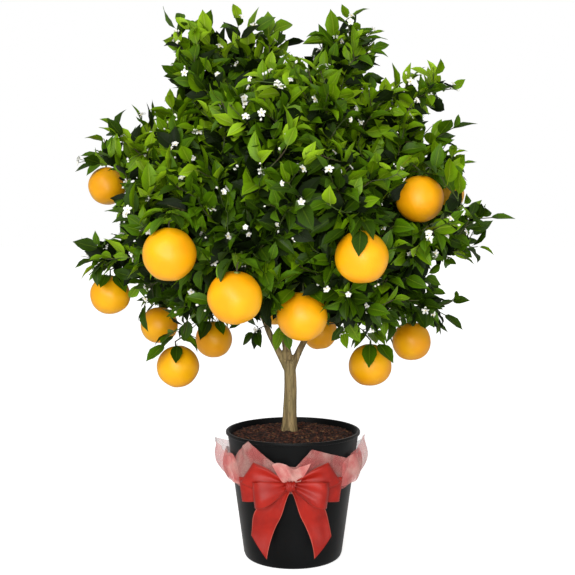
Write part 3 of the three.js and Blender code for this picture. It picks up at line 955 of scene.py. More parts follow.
def growTree():
    rng = random.Random(treeForm["seed"])
    tree = Limbs()
    last = -1
    trunkWalk = smoothRoute(treeForm["trunkRoute"], 0.008)
    for k, place in enumerate(trunkWalk):
        share = k / (len(trunkWalk) - 1)
        thick = mix(*treeForm["trunkRadii"], math.sqrt(share)) + treeForm["flare"] * math.exp(-9 * share)
        last = tree.add(place, last, forks=False, thick=thick)
    trunkJoints = list(range(tree.count))
    for route, radii in treeForm["boughs"].values():
        walk = smoothRoute(route, 0.012)
        joint = min(trunkJoints, key=lambda i: (Vector(tree.at[i]) - walk[0]).length)
        for k, place in enumerate(walk):
            share = k / (len(walk) - 1)
            thick = mix(*radii, share) + treeForm["collar"] * math.exp(-k * 0.8)
            joint = tree.add(place, joint, forks=share > treeForm["bareBough"], thick=thick)
    boughEnd = tree.count
    tips = []  # of each shoot its last joint, whether it is buried, its way out and whether it is loose
    middles = {name: massMiddle(name) for name in massNames}
    for name in sorted(massNames, key=lambda name: (middles[name] - treeForm["fork"]).length):
        out = outwardFrom(middles[name])
        tree.grow(middles[name] - out * 0.02, (out + upward * 0.4).normalized(), rng)
    for fruit in fruits:  # a limb above each fruit, for it to hang from
        at = fruit["at"]
        above = at + upward * (fruit["radius"] + treeForm["hookHeight"]) - Vector((at.x, at.y, 0)) * 0.1
        fruit["hook"] = tree.grow(above, (outwardFrom(above) - upward * 0.2).normalized(), rng)
    cells = np.argwhere(crownDepth > 0)
    chooser = np.random.default_rng(treeForm["seed"])
    chooser.shuffle(cells)
    least, most = treeForm["shellDepth"]
    spots = []
    taken = np.zeros((0, 3))
    for cell in cells:
        deep = crownDepth[tuple(cell)]
        spire = rng.random() < treeForm["spires"]
        if deep < (least * treeForm["spireDepth"] if spire else least):
            continue
        inner = deep > most
        place = crownLow + (cell + chooser.uniform(-0.5, 0.5, 3)) * treeForm["cell"]
        spacing = treeForm["innerSpacing" if inner else "shellSpacing"]
        spacing *= mix(treeForm["sparseSkirt"], 0.97, soft(place[2], 0.36, 0.52))
        spacing *= 1 + treeForm["sparseRim"] * soft(math.hypot(place[0], place[1]), 0.21, 0.31)
        if len(taken) and ((taken - place) ** 2).sum(1).min() < spacing**2:
            continue
        if inFruitWindow(Vector(place), 0.006):
            continue
        taken = np.vstack([taken, place])
        spots.append((Vector(place), Vector(crownOut[tuple(cell)]), inner))
    spots.sort(key=lambda spot: (not spot[2], (spot[0] - treeForm["fork"]).length))  # inner shoots first
    for place, out, inner in spots:
        lift = 0.6 * soft(place.z, 0.38, 0.62) - 0.12
        waver = Vector([rng.gauss(0, 0.3) for _ in range(3)])
        way = (out + outwardFrom(place) * 0.3 + upward * lift + waver).normalized()
        tips.append((tree.grow(place, way, rng), inner, out, False))
    for place, way in looseSprays:
        way = Vector(way).normalized()
        tips.append((tree.grow(Vector(place), way, rng), False, way, True))
    return tree, tips, boughEnd


tree, tips, boughEnd = growTree()
count = tree.count
radii = np.full(count, treeForm["tipRadius"])
sums = np.zeros(count)
for i in range(count - 1, 0, -1):  # a limb carries what its branches carry
    radii[i] = max(treeForm["tipRadius"], sums[i] ** (1 / treeForm["thickening"]))
    sums[tree.parent[i]] += radii[i] ** treeForm["thickening"]
radii[0] = radii[1]
for i in range(count):
    if tree.thick[i]:
        radii[i] = tree.thick[i]
    elif tree.parent[i] >= 0:
        radii[i] = min(radii[i], treeForm["thickestTwig"], radii[tree.parent[i]] * 0.97)
branchesOf = [[] for _ in range(count)]
for i in range(1, count):
    branchesOf[tree.parent[i]].append(i)
print(f"tree grown: {count} joints, {len(tips)} shoots")


def limbRuns():  # splits the tree into runs that follow the thickest branch
    runs = []
    starts = [(0, None)]
    while starts:
        i, before = starts.pop()
        run = [] if before is None else [before]
        while True:
            run.append(i)
            branches = sorted(branchesOf[i], key=lambda k: -radii[k])
            if not branches:
                break
            starts += [(k, i) for k in branches[1:]]
            i = branches[0]
        runs.append(run)
    return runs


def runPoints(run):  # the first point sits inside the parent limb, at the branch's own thickness
    points = [(tree.at[i], radii[i]) for i in run]
    if run[0] and len(run) > 1:
        points[0] = (tree.at[run[0]], min(radii[run[0]], radii[run[1]] * 1.15))
    return points


bark = {
    "thinnest": 0.0023,  # limbs thinner than this are twigs
    "voxel": 0.00135,
    "softening": 11,
    "ridge": 0.0003,
    "streaks": (230, 26),  # how fine, across and along the stem
    "knots": 70,
    "rootRibs": 5,
    "ribDepth": 0.0005,
    "ribHeight": 0.03,
    "sides": 14,
}


def splitRuns():
    thick, thin = [], []
    for run in limbRuns():
        cut = next((k for k, i in enumerate(run) if radii[i] < bark["thinnest"] and k > 0), len(run))
        if cut > 1:
            thick.append(run[: cut + 1])
        if cut < len(run):
            thin.append(run[max(0, cut - 1) :])
    return thick, thin


def makeBark(runs):
    stem = limbs("stem", [runPoints(r) for r in runs if len(r) > 1], barkFinish(), bark["sides"])
    remesh = stem.modifiers.new("join", "REMESH")
    remesh.mode = "VOXEL"
    remesh.voxel_size = bark["voxel"]
    remesh.use_smooth_shade = True
    smoothing = stem.modifiers.new("soften", "SMOOTH")
    smoothing.factor = 0.5
    smoothing.iterations = bark["softening"]
    finish = stem.data.materials[0]
    stem = baked(stem, "trunkAndBoughs")
    stem.data.materials.clear()
    stem.data.materials.append(finish)
    trunkTop = treeForm["trunkRoute"][-1][2]
    foot = treeForm["trunkRoute"][0][2]
    fine, long = bark["streaks"]
    skin = np.zeros((len(stem.data.vertices), 3), np.float32)
    outward = np.zeros_like(skin)
    stem.data.vertices.foreach_get("co", skin.ravel())
    stem.data.vertices.foreach_get("normal", outward.ravel())
    for row, (place, facing) in enumerate(zip(skin.copy(), outward)):
        p = Vector(place)
        streak = noise.fractal(Vector((p.x * fine, p.y * fine, p.z * long)), 0.8, 2.0, 3)
        knots = noise.noise(p * bark["knots"])
        onTrunk = 1 - soft(p.z, trunkTop, trunkTop + 0.08)
        lift = bark["ridge"] * (streak + 0.5 * knots) * (0.35 + 0.65 * onTrunk)
        if p.z < foot + bark["ribHeight"]:
            angle = math.atan2(p.y, p.x + 0.006)
            ribs = bark["ribDepth"] * math.cos(bark["rootRibs"] * angle + 1.3)
            lift += ribs * (1 - (p.z - foot) / bark["ribHeight"])
        skin[row] = place + facing * lift
        skin[row, 2] = max(skin[row, 2], foot)
    stem.data.vertices.foreach_set("co", skin.ravel())
    stem.data.update()
    stem.data.polygons.foreach_set("use_smooth", [True] * len(stem.data.polygons))
    return stem


thickRuns, thinRuns = splitRuns()
stem = makeBark(thickRuns)
settle(stem, "bark", "trunk", "bough_left", "bough_middle", "bough_right")
print(f"trunk and boughs made: {len(stem.data.polygons)} faces")

leaf = {
    "length": (0.033, 0.048),
    "spacing": 0.0098,
    "leafyLength": 0.094,
    "looseLength": 0.05,  # the same for the loose sprays
    "spiral": 137.5,
    "lean": (68, 30),  # degrees from the shoot, at its foot and at its tip
    "toLight": 1.0,
    "stations": (0, 0.1, 0.27, 0.5, 0.73, 0.9, 1),
    "columns": (-1, -0.52, 0, 0.52, 1),
    "shapes": [  # fold in degrees, arch, curl, waviness
        (12, 0.35, 0.02, 0.05),
        (18, 0.6, -0.05, 0.08),
        (24, 0.95, 0.05, 0.1),
        (15, 0.15, 0.0, 0.12),
        (34, 0.8, -0.06, 0.06),
        (9, 0.5, 0.06, 0.14),
    ],
    "flatShape": 3,  # the shape that lies on a fruit's shoulder
    "roundStalk": 9,  # leaves round a fruit's stalk
    "shouldered": (0.88, 0.98),  # how clear a fruit is that has leaves on its shoulder
    "flowering": (0.34, 0.3),  # share of the shoots with blossom at the tip, and just behind it
    "petiole": 0.13,
    "edgeMargin": 0.012,
    "shadeFrom": 0.5,  # how far back along a shoot the older spray, painted in shade, begins
    "strays": 0.3,  # share kept of the leaves that lie outside the crown
    "edgeKept": 0.5,  # and of those that reach out of it
}
leafTones = {  # blade, rib, roughness; lit and shaded copies of one leaf, darkest first: painted shade for buried and older leaves, painted light for leaves high up and facing up, and lighter young tips
    "leafInner": (linear(15, 29, 1), linear(32, 48, 6), 0.62),
    "leafShade": (linear(17, 31, 1), linear(34, 50, 6), 0.6),
    "leafDeep": (linear(39, 63, 1), linear(84, 110, 14), 0.46),
    "leafMid": (linear(63, 96, 2), linear(118, 148, 26), 0.44),
    "leafFresh": (linear(95, 130, 5), linear(152, 176, 44), 0.44),
    "leafBright": (linear(130, 165, 20), linear(176, 198, 80), 0.46),
}


def leafShape(fold, arch, curl, wave):
    places, uv = [], []

    def point(v, c, half):
        bend = arch * v
        middle = Vector((0, math.sin(bend) / arch, -(1 - math.cos(bend)) / arch))
        lift = Vector((0, math.sin(bend), math.cos(bend)))
        side = Vector((1, 0, 0))
        rise = abs(c) * half * math.sin(fold) + wave * half * math.sin(9 * v + 2 * c)
        return middle + side * (c * half * math.cos(fold) + curl * v * v) + lift * rise

    for v in leaf["stations"]:
        half = 0.275 * math.sin(math.pi * v**0.8) ** (0.75 + 0.5 * v) if 0 < v < 1 else 0
        for c in (0,) if half == 0 else leaf["columns"]:
            places.append(point(v, c, half))
            uv.append((0.5 + c * 0.5, v))
    faces = gridFaces(len(leaf["stations"]) - 3, 4, start=1)
    tip = len(places) - 1
    for k in range(4):
        faces.append((0, 2 + k, 1 + k))
        faces.append((tip - 5 + k, tip - 4 + k, tip))
    start = len(places)
    stalk = leaf["petiole"]
    places += [(-0.011, -stalk, 0.02), (0.011, -stalk, 0.02), (0.014, 0.03, 0.002), (-0.014, 0.03, 0.002)]
    uv += [(0.5, 0)] * 4
    faces.append((start, start + 1, start + 2, start + 3))
    return places, faces, ("OFBake", uv)


leafShapes = shapeBox("leafShape", [leafShape(math.radians(fold), *bend) for fold, *bend in leaf["shapes"]])


def standingFrame(along, facing):  # turns a shape's length to along and its face to facing
    y = along.normalized()
    z = facing - y * facing.dot(y)
    z = z.normalized() if z.length > 1e-4 else y.orthogonal().normalized()
    return Matrix((y.cross(z), y, z)).transposed().to_euler()


def fits(place, margin):
    return all(low - margin < p < high + margin for low, p, high in zip(cadBox[0], place, cadBox[1]))


def shootWalk(tip):  # joints from a shoot's tip back towards the trunk
    walk, length, i = [tip], 0.0, tip
    while tree.parent[i] >= boughEnd and length < leaf["leafyLength"] + 0.02 and radii[i] < 0.0021:
        length += np.linalg.norm(tree.at[i] - tree.at[tree.parent[i]])
        i = tree.parent[i]
        walk.append(i)
    return walk


def makeLeaves():
    rng = random.Random(77)
    sprays = {name: [] for name in leafTones}
    names = list(leafTones)
    blossomSites = []

    def addLeaf(level, place, along, facing, length, shape):
        sprays[names[level]].append((place, standingFrame(along, facing), length, shape))

    for tip, buried, out, loose in tips:
        walk = [Vector(tree.at[i]) for i in shootWalk(tip)]
        if len(walk) < 2:
            continue
        height = soft(walk[0].z, 0.35, 0.8)
        # painted light and shade: a shoot's leaves take lighter tones high in the crown and where it faces
        # up, darker ones when it is buried, with tone that differs at random
        lightAndTone = rng.gauss(0.06 + 0.4 * height + 0.22 * max(0, out.z), 0.2) - (0.4 if buried else 0)
        # painted shade for buried shoots, more often low in the crown, and for the older leaves of most
        # shoots
        shaded = rng.random() < mix(1.0, 0.75, height)
        shadedFoot = rng.random() < 0.85
        leafy = leaf["looseLength"] if loose else leaf["leafyLength"]
        light = (upward * 0.7 + out * 0.75).normalized()
        spin = rng.uniform(0, 360)
        travelled, target = 0.0, 0.0
        for a, b in zip(walk, walk[1:]):
            step = (b - a).length
            way = (a - b).normalized()
            while target <= travelled + step:
                share = target / leafy
                if share > 1:
                    break
                place = a.lerp(b, (target - travelled) / max(step, 1e-6))
                spin += leaf["spiral"]
                turn = math.radians(spin + rng.uniform(-18, 18))
                side = way.orthogonal().normalized()
                side = side * math.cos(turn) + way.cross(side) * math.sin(turn)
                lean = mix(leaf["lean"][1], leaf["lean"][0], min(1, share * 1.6))
                lean = math.radians(lean + rng.uniform(-14, 14))
                along = way * math.cos(lean) + side * math.sin(lean)
                along = (along + out * 0.22 + upward * (0.12 * height - 0.05)).normalized()
                facing = light * leaf["toLight"] + Vector([rng.gauss(0, 0.42) for _ in range(3)])
                length = rng.uniform(*leaf["length"]) * mix(0.74, 1.0, min(1, share * 5))
                target += leaf["spacing"] * rng.uniform(0.75, 1.3) * (0.7 if share < 0.05 else 1)
                middle = place + along * length * 0.6
                end = place + along * length
                if inFruitWindow(middle, -0.002) or inFruitWindow(end, -0.006):
                    continue
                if not fits(end, leaf["edgeMargin"]):
                    continue
                outside = depthAt(middle) == 0
                kept = leaf["strays"] if outside else leaf["edgeKept"]
                if (outside or depthAt(end) == 0) and not loose and rng.random() > kept:
                    continue
                level = min(5, max(2, int(lightAndTone * 3.2 + rng.gauss(0, 0.5) + 2.4)))
                if share < 0.12 and rng.random() < 0.3:
                    level = min(5, level + 1)
                # painted shade: buried shoots and the older leaves back along a shoot take the darkest tones
                if (buried and shaded) or (share > leaf["shadeFrom"] and shadedFoot):
                    level = 0 if buried else 1
                foot = place + along * length * leaf["petiole"]
                addLeaf(level, foot, along, facing, length, rng.randrange(6))
            travelled += step
        tipWay = (walk[0] - walk[1]).normalized()
        atTip, behind = leaf["flowering"]
        if rng.random() < atTip and not buried:
            blossomSites.append((walk[0], tipWay, out))
        elif rng.random() < behind:
            blossomSites.append((walk[1], tipWay, out))
    for fruit in fruits:  # a few leaves round each fruit's stalk
        top = fruit["at"] + upward * (fruit["radius"] + 0.012)
        out = Vector((fruit["at"].x, fruit["at"].y, 0)).normalized()
        for k in range(leaf["roundStalk"]):
            flat = Vector(onRing(1, math.radians(360 / leaf["roundStalk"] * k + rng.uniform(-15, 15))))
            if flat.dot(fruit["out"]) > 0.75 and fruit["clear"] > 0.95:
                continue
            along = (flat + upward * rng.uniform(-0.8, 0.15) + out * 0.1).normalized()
            length = rng.uniform(0.03, 0.042)
            place = top + flat * 0.003 + upward * rng.uniform(0, 0.012)
            if fits(place + along * length, leaf["edgeMargin"]):
                facing = upward * 0.7 + flat * 0.6 + fruit["out"] * 0.3
                foot = place + along * length * leaf["petiole"]
                addLeaf(rng.randrange(2, 5), foot, along, facing, length, rng.randrange(6))
        least, most = leaf["shouldered"]
        if least < fruit["clear"] < most:  # and two that hang over its shoulder
            aside = fruit["out"].cross(upward).normalized()
            first = rng.uniform(-0.9, 0.2)
            for sway in (first, first + rng.uniform(0.6, 1.1)):
                along = (fruit["out"] * 0.8 - upward * rng.uniform(0.45, 1.0) + aside * sway).normalized()
                shoulder = upward * 1.07 + fruit["out"] * 0.45 + aside * sway * 0.5
                place = fruit["at"] + shoulder * fruit["radius"]
                facing = fruit["out"] + upward * rng.uniform(0.1, 0.7) + aside * sway * 0.6
                level = rng.randrange(2, 5)
                length = rng.uniform(0.036, 0.049)
                addLeaf(level, place + along * 0.005, along, facing, length, leaf["flatShape"])
    for name, tones in leafTones.items():
        settle(spray(name, sprays[name], leafShapes, leafFinish(name + "Blade", *tones)), "foliage")
        print(f"{name}: {len(sprays[name])} leaves")
    return blossomSites


blossomSites = makeLeaves()
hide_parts(*massNames)

blossom = {
    "petal": 0.0069,
    "bud": 0.0054,
    "stalk": 0.007,
    "stalkRadius": 0.0005,
    "heads": (1, 1, 2, 2, 3),  # how many stand together, by chance
    "open": 0.62,  # share of flowers among the buds
}


def flowerShape(spread):  # five petals, 1 for a flower wide open
    places, faces = [], []
    for k in range(5):
        turn = Matrix.Rotation(math.tau * k / 5, 3, "Z")
        faces += gridFaces(3, 2, start=len(places))
        for s, half in ((0.08, 0.1), (0.45, 0.3), (0.8, 0.27), (1.0, 0.08)):
            rise = 0.55 * math.sin(s * 2.2) * (1 - spread) + 0.3 * math.sin(s * 2.6) * spread
            for c in (-1, 0, 1):
                places.append(turn @ Vector((c * half, s * (0.6 + 0.4 * spread), rise + 0.06 * abs(c))))
    return places, faces, None


def roundShape(length, girth, rows=4):
    places = [(0, 0, 0)]
    for t in (r / rows for r in range(1, rows)):
        size = girth * math.sin(math.pi * t) ** 0.8 * (0.8 + 0.5 * t)
        places += [onRing(size, a, length * t) for a in turns(6)]
    places.append((0, 0, length))
    return places, ballFaces(rows, 6), None


def makeBlossom():
    rng = random.Random(12)
    flowers, buds, stalks = [], [], []
    for place, way, out in blossomSites:
        for _ in range(rng.choice(blossom["heads"])):
            aim = (way * 0.7 + out * 0.6 + Vector([rng.gauss(0, 0.6) for _ in range(3)])).normalized()
            head = place + aim * blossom["stalk"] * rng.uniform(0.9, 1.9)
            if inFruitWindow(head, 0.0) or not fits(head, 0.006):
                continue
            turn = aim.to_track_quat("Z", "Y").to_euler()
            if rng.random() < blossom["open"]:
                flowers.append((head, turn, blossom["petal"] * rng.uniform(0.75, 1.1), rng.randrange(2)))
            else:
                buds.append((head, turn, blossom["bud"] * rng.uniform(0.7, 1.25), 0))
            middle = place.lerp(head, 0.55) + upward * 0.0006
            thick = blossom["stalkRadius"]
            stalks.append([(place, thick * 1.2), (middle, thick), (head, thick)])
    petals = mottledFinish("waxWhitePetal", (246, 244, 236), 0.5, 160.0, (233, 232, 216), (252, 251, 247))
    hearts = mottledFinish("stamenYellow", (232, 200, 84), 0.7, 500.0, (214, 176, 60), (246, 226, 140))
    flowerBox = shapeBox("flowerShape", [flowerShape(0.9), flowerShape(0.45)])
    heartBox = shapeBox("heartShape", [roundShape(0.42, 0.13, 3), roundShape(0.42, 0.1, 3)])
    budBox = shapeBox("budShape", [roundShape(1.0, 0.3)])
    settle(spray("blossomPetals", flowers, flowerBox, petals), "foliage")
    settle(spray("blossomHearts", flowers, heartBox, hearts), "foliage")
    settle(spray("blossomBuds", buds, budBox, petals), "foliage")
    print(f"blossom: {len(flowers)} flowers, {len(buds)} buds")
    return stalks


flowerStalks = makeBlossom()

fruitForm = {
    "around": 44,
    "rows": 26,
    "squat": 0.985,
    "dimple": 0.0026,
    "foot": 0.0012,
    "waver": 0.0006,
    "calyx": (20, 0.0034, 0.0018),  # places round it, reach, and how far its five lobes stand out
}


def makeFruit():
    rng = random.Random(8)
    places, faces, stalks = [], [], []
    crownPlaces, crownFaces = [], []
    around, rows = fruitForm["around"], fruitForm["rows"]
    for fruit in fruits:
        radius, seed = fruit["radius"], rng.uniform(0, 90)
        tilt = Euler((rng.uniform(-0.16, 0.16), rng.uniform(-0.16, 0.16), rng.uniform(0, 6))).to_matrix()

        def skin(polar, turn):
            way = Vector(onRing(math.sin(polar), turn, math.cos(polar)))
            size = radius + fruitForm["waver"] * noise.noise(way * 1.7 + Vector((seed, 0, 0))) * 2
            foot = fruitForm["foot"] * math.exp(-(((math.pi - polar) / 0.16) ** 2))
            size -= fruitForm["dimple"] * math.exp(-((polar / 0.19) ** 2)) + foot
            squat = fruitForm["squat"]
            return fruit["at"] + tilt @ Vector((way.x * size, way.y * size, way.z * size * squat))

        faces += ballFaces(rows, around, len(places), flip=True)
        places.append(skin(0, 0))
        for r in range(1, rows):
            places += [skin(math.pi * r / rows, math.tau * k / around) for k in range(around)]
        places.append(skin(math.pi, 0))
        top = skin(0, 0)
        axis = tilt @ upward
        base = len(crownPlaces)
        crownPlaces.append(top + axis * 0.0028)
        count, least, lobes = fruitForm["calyx"]
        for k in range(count):
            turn = math.tau * k / count
            reach = least + lobes * max(0, math.cos(5 * turn))
            rim = tilt @ Vector(onRing(reach, turn))
            crownPlaces.append(top + rim + axis * (0.0016 + 0.06 * reach))
            crownPlaces.append(top + rim * 0.9 + axis * 0.0002)
            a, b = base + 1 + 2 * k, base + 1 + 2 * ((k + 1) % count)
            crownFaces += [(base, a, b), (a, a + 1, b + 1, b)]
        hook = Vector(tree.at[fruit["hook"]])
        drop = hook - top
        bow = drop.cross(upward).normalized() * 0.002
        stalk = [(hook, 0.0017), (hook.lerp(top, 0.4) + bow + axis * drop.length * 0.08, 0.0014)]
        stalks.append([*stalk, (top + axis * drop.length * 0.28, 0.0013), (top + axis * 0.001, 0.0016)])
    calyx = mottledFinish("greenCalyx", (104, 128, 46), 0.6, 260.0, (84, 104, 36), (136, 152, 70))
    settle(pieceFrom("fruit", places, faces, fruitFinish()), "foliage")
    settle(pieceFrom("fruitCalyx", crownPlaces, crownFaces, calyx), "foliage")
    return stalks


fruitStalks = makeFruit()
twigFinish = mottledFinish(
    "greenBrownTwig", (92, 92, 46), 0.6, 24.0, (62, 52, 28), (62, 84, 22), (1400.0, 0.3, 0.0003)
)
twigPoints = [runPoints(r) for r in thinRuns if len(r) > 1]
twigs = limbs("twigs", [*twigPoints, *flowerStalks, *fruitStalks], twigFinish, 5)
settle(twigs, "bark")
print(f"fruit hung, {len(twigs.data.polygons)} twig faces")

# The wrap and the bow, on the pot.
gauze = {
    "foot": 0.127,  # height of its lower edge
    "top": [  # bearing from the front, height of the top edge, how far it stands off
        (-180, 0.178, 0.004),
        (-150, 0.195, 0.007),
        (-122, 0.172, 0.004),
        (-95, 0.194, 0.022),
        (-76, 0.181, 0.010),
        (-62, 0.172, 0.002),
        (-39, 0.207, 0.002),
        (-14, 0.174, 0.002),
        (2, 0.171, 0.002),
        (14.5, 0.1985, 0.002),
        (50, 0.177, 0.002),
        (63, 0.183, 0.003),
        (84, 0.204, 0.008),
        (112, 0.173, 0.004),
        (148, 0.197, 0.006),
        (180, 0.178, 0.004),
    ],
    "folded": {"Left": (-103, -57), "Right": (47, 101)},  # bearings of the second layer at each side
    "ruffle": 0.0028,
    "columns": 420,
    "rows": 16,
}


def onPot(bearing, radius, height):  # the bearing is in radians from the front
    return (radius * math.sin(bearing), -radius * math.cos(bearing), height)


def clothGrid(name, columns, rows, placeOf, material, size, lengthwise=False, closed=False):
    cells = [(u / columns, v / rows) for v in range(rows + 1) for u in range(columns + (0 if closed else 1))]
    wide, tall = size  # of the flat cloth, in metres, for its map
    flat = [(v * wide, u * tall) if lengthwise else (u * wide, v * tall) for u, v in cells]
    places = [placeOf(u, v) for u, v in cells]
    return pieceFrom(name, places, gridFaces(rows, columns, wrap=closed), material, ("clothMap", flat))


def weld(piece, turnOut=False):
    bm = bmesh.new()
    bm.from_mesh(piece.data)
    bmesh.ops.remove_doubles(bm, verts=bm.verts, dist=1e-6)
    if turnOut:
        bmesh.ops.recalc_face_normals(bm, faces=bm.faces)
    bm.to_mesh(piece.data)
    bm.free()


def makeGauze():
    finish = gauzeFinish("sheerPinkGauze", 0.32, 0.56)
    doubled = gauzeFinish("doubledPinkGauze", 0.5, 0.78)

    def topAt(angle):
        for (a, za, oa), (b, zb, ob) in zip(gauze["top"], gauze["top"][1:]):
            if a <= angle <= b:
                t = (angle - a) / (b - a)
                return mix(za, zb, t), mix(oa, ob, soft(t, 0, 1))

    def wrapPlace(u, v):
        angle = -180 + 360 * u
        a = math.radians(angle)
        top, out = topAt(angle)
        foot = gauze["foot"] + 0.004 * noise.noise(Vector(onRing(3, a, 1.7)))
        height = mix(foot, top, v)
        folds = noise.noise(Vector(onRing(7, a, v * 1.3)))
        folds += 0.5 * noise.noise(Vector(onRing(17, a, v * 2.6 + 9)))
        side = math.sin(a) ** 6
        belly = (0.004 + 0.009 * side) * math.sin(math.pi * min(1, v * 1.1)) * (0.4 + 0.6 * side)
        stand = 0.0016 + out * v**0.8 + belly + gauze["ruffle"] * (0.4 + v) * max(-0.3, folds)
        radius = max(potRadius(height) + 0.0012, potRadius(height) + stand)
        if height > pot["height"] - pot["lipHeight"] - 0.002:
            radius = max(radius, pot["lipRadius"] + 0.0008)
        return onPot(a, radius, height)

    size = (gauze["columns"], gauze["rows"])
    wrap = clothGrid("gauzeWrap", *size, wrapPlace, finish, (0.68, 0.065))
    weld(wrap)
    settle(wrap, "gauze", "gauze_wrap")
    for sideName, (start, end) in gauze["folded"].items():

        def foldPlace(u, v):
            rise = mix(0.131, 0.168 + 0.012 * math.sin(math.pi * u) + 0.004 * math.sin(9 * u), v)
            belly = 0.0105 * math.sin(math.pi * u) ** 0.8 * math.sin(math.pi * min(1, 0.15 + v * 0.8))
            bulge = 0.0035 + belly + 0.0012 * math.sin(u * 17 + v * 3)
            return onPot(math.radians(mix(start, end, u)), potRadius(rise) + bulge, rise)

        fold = clothGrid(f"gauzeFold{sideName}", 60, 12, foldPlace, doubled, (0.1, 0.05))
        settle(fold, "gauze")

    def gatherPlace(u, v):  # a pleated fan behind the knot
        x = mix(-0.033, 0.027, u)
        top = 0.1755 + 0.0035 * math.sin(u * 7.5) - 0.004 * soft(abs(u - 0.56), 0.2, 0.0)
        z = mix(0.146, top, v)
        squeeze = mix(0.35, 1.0, v)
        pleat = 0.0034 * math.sin(u * 11 + v * 4.2) * (0.35 + 0.65 * v)
        y = -0.1135 - 0.004 * math.sin(math.pi * v) - pleat - 0.006 * (1 - v)
        return (-0.003 + (x + 0.003) * squeeze, y, z)

    gather = clothGrid("gauzeGather", 64, 12, gatherPlace, doubled, (0.09, 0.03))
    settle(gather, "gauze")


makeGauze()
print("gauze wrapped")

knotLow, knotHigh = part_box("bow_knot")
ribbon = {
    "width": 0.039,
    "thickness": 0.0004,
    "middle": Vector(((knotLow.x + knotHigh.x) / 2, 0, (knotLow.z + knotHigh.z) / 2)),
    "back": -0.1125,
    "bend": 0.16,
    "loops": [  # slope in degrees, reach, depth, width at its outer end, stand off, twist
        (-9, 0.078, 0.006, 0.038, 0.000, 0.03),
        (15, 0.066, 0.010, 0.033, 0.004, -0.42),
        (-17, 0.054, 0.024, 0.041, 0.006, -0.12),
    ],
    "tail": 0.122,
    "slant": 0.026,  # how much shorter one edge of a tail is
}


def bentBack(across, up, out):  # a place drawn flat on the front, bent round the pot
    radius = ribbon["bend"] + out
    a = across / ribbon["bend"]
    y = ribbon["back"] + ribbon["bend"] - radius * math.cos(a)
    return (ribbon["middle"].x + radius * math.sin(a), y, ribbon["middle"].z + up)


def thicken(piece):
    weld(piece, turnOut=True)
    body = piece.modifiers.new("body", "SOLIDIFY")
    body.thickness = ribbon["thickness"]
    body.offset = 0


def joinAs(name, parts):
    bm = bmesh.new()
    material = parts[0].data.materials[0]
    for part in parts:
        bm.from_mesh(part.data)
        bpy.data.objects.remove(part)
    mesh = bpy.data.meshes.new(name)
    bm.to_mesh(mesh)
    bm.free()
    mesh.materials.append(material)
    return putInScene(name, mesh)


def makeLoops(side, sideName, finish):
    parts = []
    for i, (slope, reach, depth, mouth, stand, twist) in enumerate(ribbon["loops"]):
        tilt = math.radians(slope)

        def loopPlace(u, v):
            a = math.tau * u
            out = reach * (1 - math.cos(a)) / 2
            share = out / reach
            front = share * (1 - share**5) ** 0.7 * 1.25 if u < 0.5 else 0.06 * math.sin(math.pi * share)
            lift = stand + 0.0015 + depth * front
            half = mix(0.0052, mouth / 2, soft(share, -0.1, 0.72))
            c = 2 * v - 1
            lift -= 0.004 * soft(c, 0.2, 1.0) * share * (i == 2)  # the front loop's top edge tucks in
            pleat = (1 - share) ** 1.2 * 0.0026 * math.cos(c * 5.5 + i * 1.3) * soft(share, 0, 0.15)
            pleat += 0.0014 * math.sin(c * 4 + a * 2 + side) * share * (1 - share) * 3
            droop = -0.05 * half * math.sin(math.pi * share)
            x = 0.0035 + out * math.cos(tilt) - c * half * math.sin(tilt) * 0.8 + twist * c * half * share
            z = out * math.sin(tilt) + c * half * math.cos(tilt) + droop
            return bentBack(side * x, z, lift + pleat)

        size = (ribbon["width"], reach * 2.1)
        parts.append(clothGrid(f"bowLoop{i}", 72, 14, loopPlace, finish, size, lengthwise=True))
    loops = joinAs(f"bowLoops{sideName}", parts)
    thicken(loops)
    settle(loops, "ribbon", f"bow_loop_{sideName.lower()}")


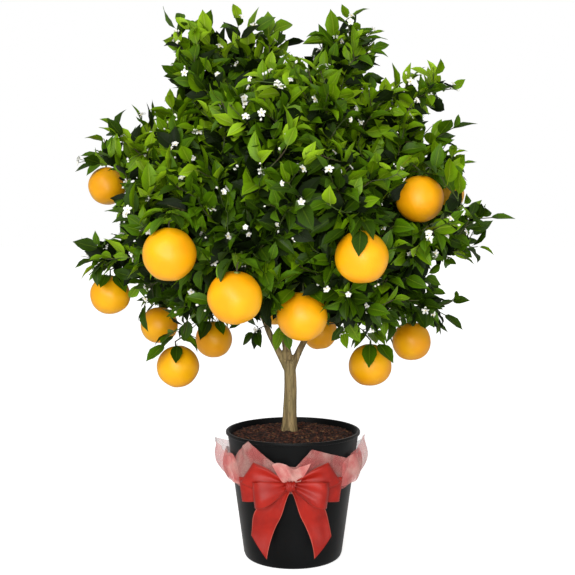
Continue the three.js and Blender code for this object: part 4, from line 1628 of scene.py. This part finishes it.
def makeTail(side, sideName, finish):
    width, longest = ribbon["width"], ribbon["tail"]

    def tailPlace(u, v):
        c = 2 * v - 1
        s = u * (longest - ribbon["slant"] * (1 - v))
        half = mix(0.006, width / 2, soft(u, -0.05, 0.42))
        x = 0.006 + s * 0.36 + 0.012 * math.sin(math.pi * u * 0.9) - c * half * 0.93
        z = -0.006 - s * 0.9 - c * half * 0.30
        ripple = 0.0042 * math.sin(u * 7.2 + c * 1.1 + side * 0.6) * soft(u, 0.15, 0.6)
        ripple += 0.0016 * math.cos(c * 6) * (1 - u)
        place = Vector(bentBack(side * x, z, 0.0018 + ripple + 0.003))
        place.y += 0.142 * max(0, -z)  # the pot narrows downwards
        return place

    tail = clothGrid(f"bowTail{sideName}", 60, 14, tailPlace, finish, (width, longest), lengthwise=True)
    thicken(tail)
    settle(tail, "ribbon", f"bow_tail_{sideName.lower()}")


def knotPlace(u, v):  # a pinched band round the middle
    a = math.tau * u
    c = 2 * v - 1
    pleat = 0.0007 * math.cos(c * 11 + 0.8 * math.sin(a * 2)) + 0.0004 * math.sin(a * 3 + c * 4)
    girth = 1 - 0.25 * c * c
    across = c * 0.0062 * (1 + 0.35 * abs(math.sin(a)))
    up = (0.0078 * girth + pleat) * math.sin(a)
    out = (0.0068 * girth + pleat) * math.cos(a)
    return (ribbon["middle"].x + across, ribbon["back"] - 0.0125 - out, ribbon["middle"].z + up)


def makeBow():
    finish = ribbonFinish("satinRibbon", 0.12)
    tailFinish = ribbonFinish("satinRibbonTail", 0.75)
    for side, sideName in ((-1, "Left"), (1, "Right")):
        makeLoops(side, sideName, finish)
        makeTail(side, sideName, tailFinish)
    size = (ribbon["width"], 0.046)
    knot = clothGrid("bowKnot", 48, 14, knotPlace, finish, size, lengthwise=True, closed=True)
    thicken(knot)
    settle(knot, "ribbon", "bow_knot")


makeBow()
print("bow tied")

ground = {"reach": 30, "height": -0.0004, "glow": 0.7}


def makeFloor():
    f = Finish("paleFloor", (0.95, 0.95, 0.95), 0.9)
    greys = {"Dark": (0.93, 0.93, 0.93, 1), "Light": (0.96, 0.96, 0.96, 1)}
    tone = f.group(mottle, Coordinates=f.coordinates(), Scale=3.0, **greys)["Colour"]
    seen = f.add("ShaderNodeLightPath").outputs["Is Camera Ray"]
    glow = f.math("MULTIPLY", seen, ground["glow"])
    setSockets(f.tree, f.shader, {"Emission Color": white, "Emission Strength": glow})
    reach, height = ground["reach"], ground["height"]
    corners = [(x * reach, y * reach, height) for x, y in ((-1, -1), (1, -1), (1, 1), (-1, 1))]
    return pieceFrom("floor", corners, [(0, 1, 2, 3)], f.wear(tone))


floor = makeFloor()

for box in shapeBoxes:
    for shape in list(box.objects):
        bpy.data.objects.remove(shape)
    bpy.data.collections.remove(box)

print("all pieces made")
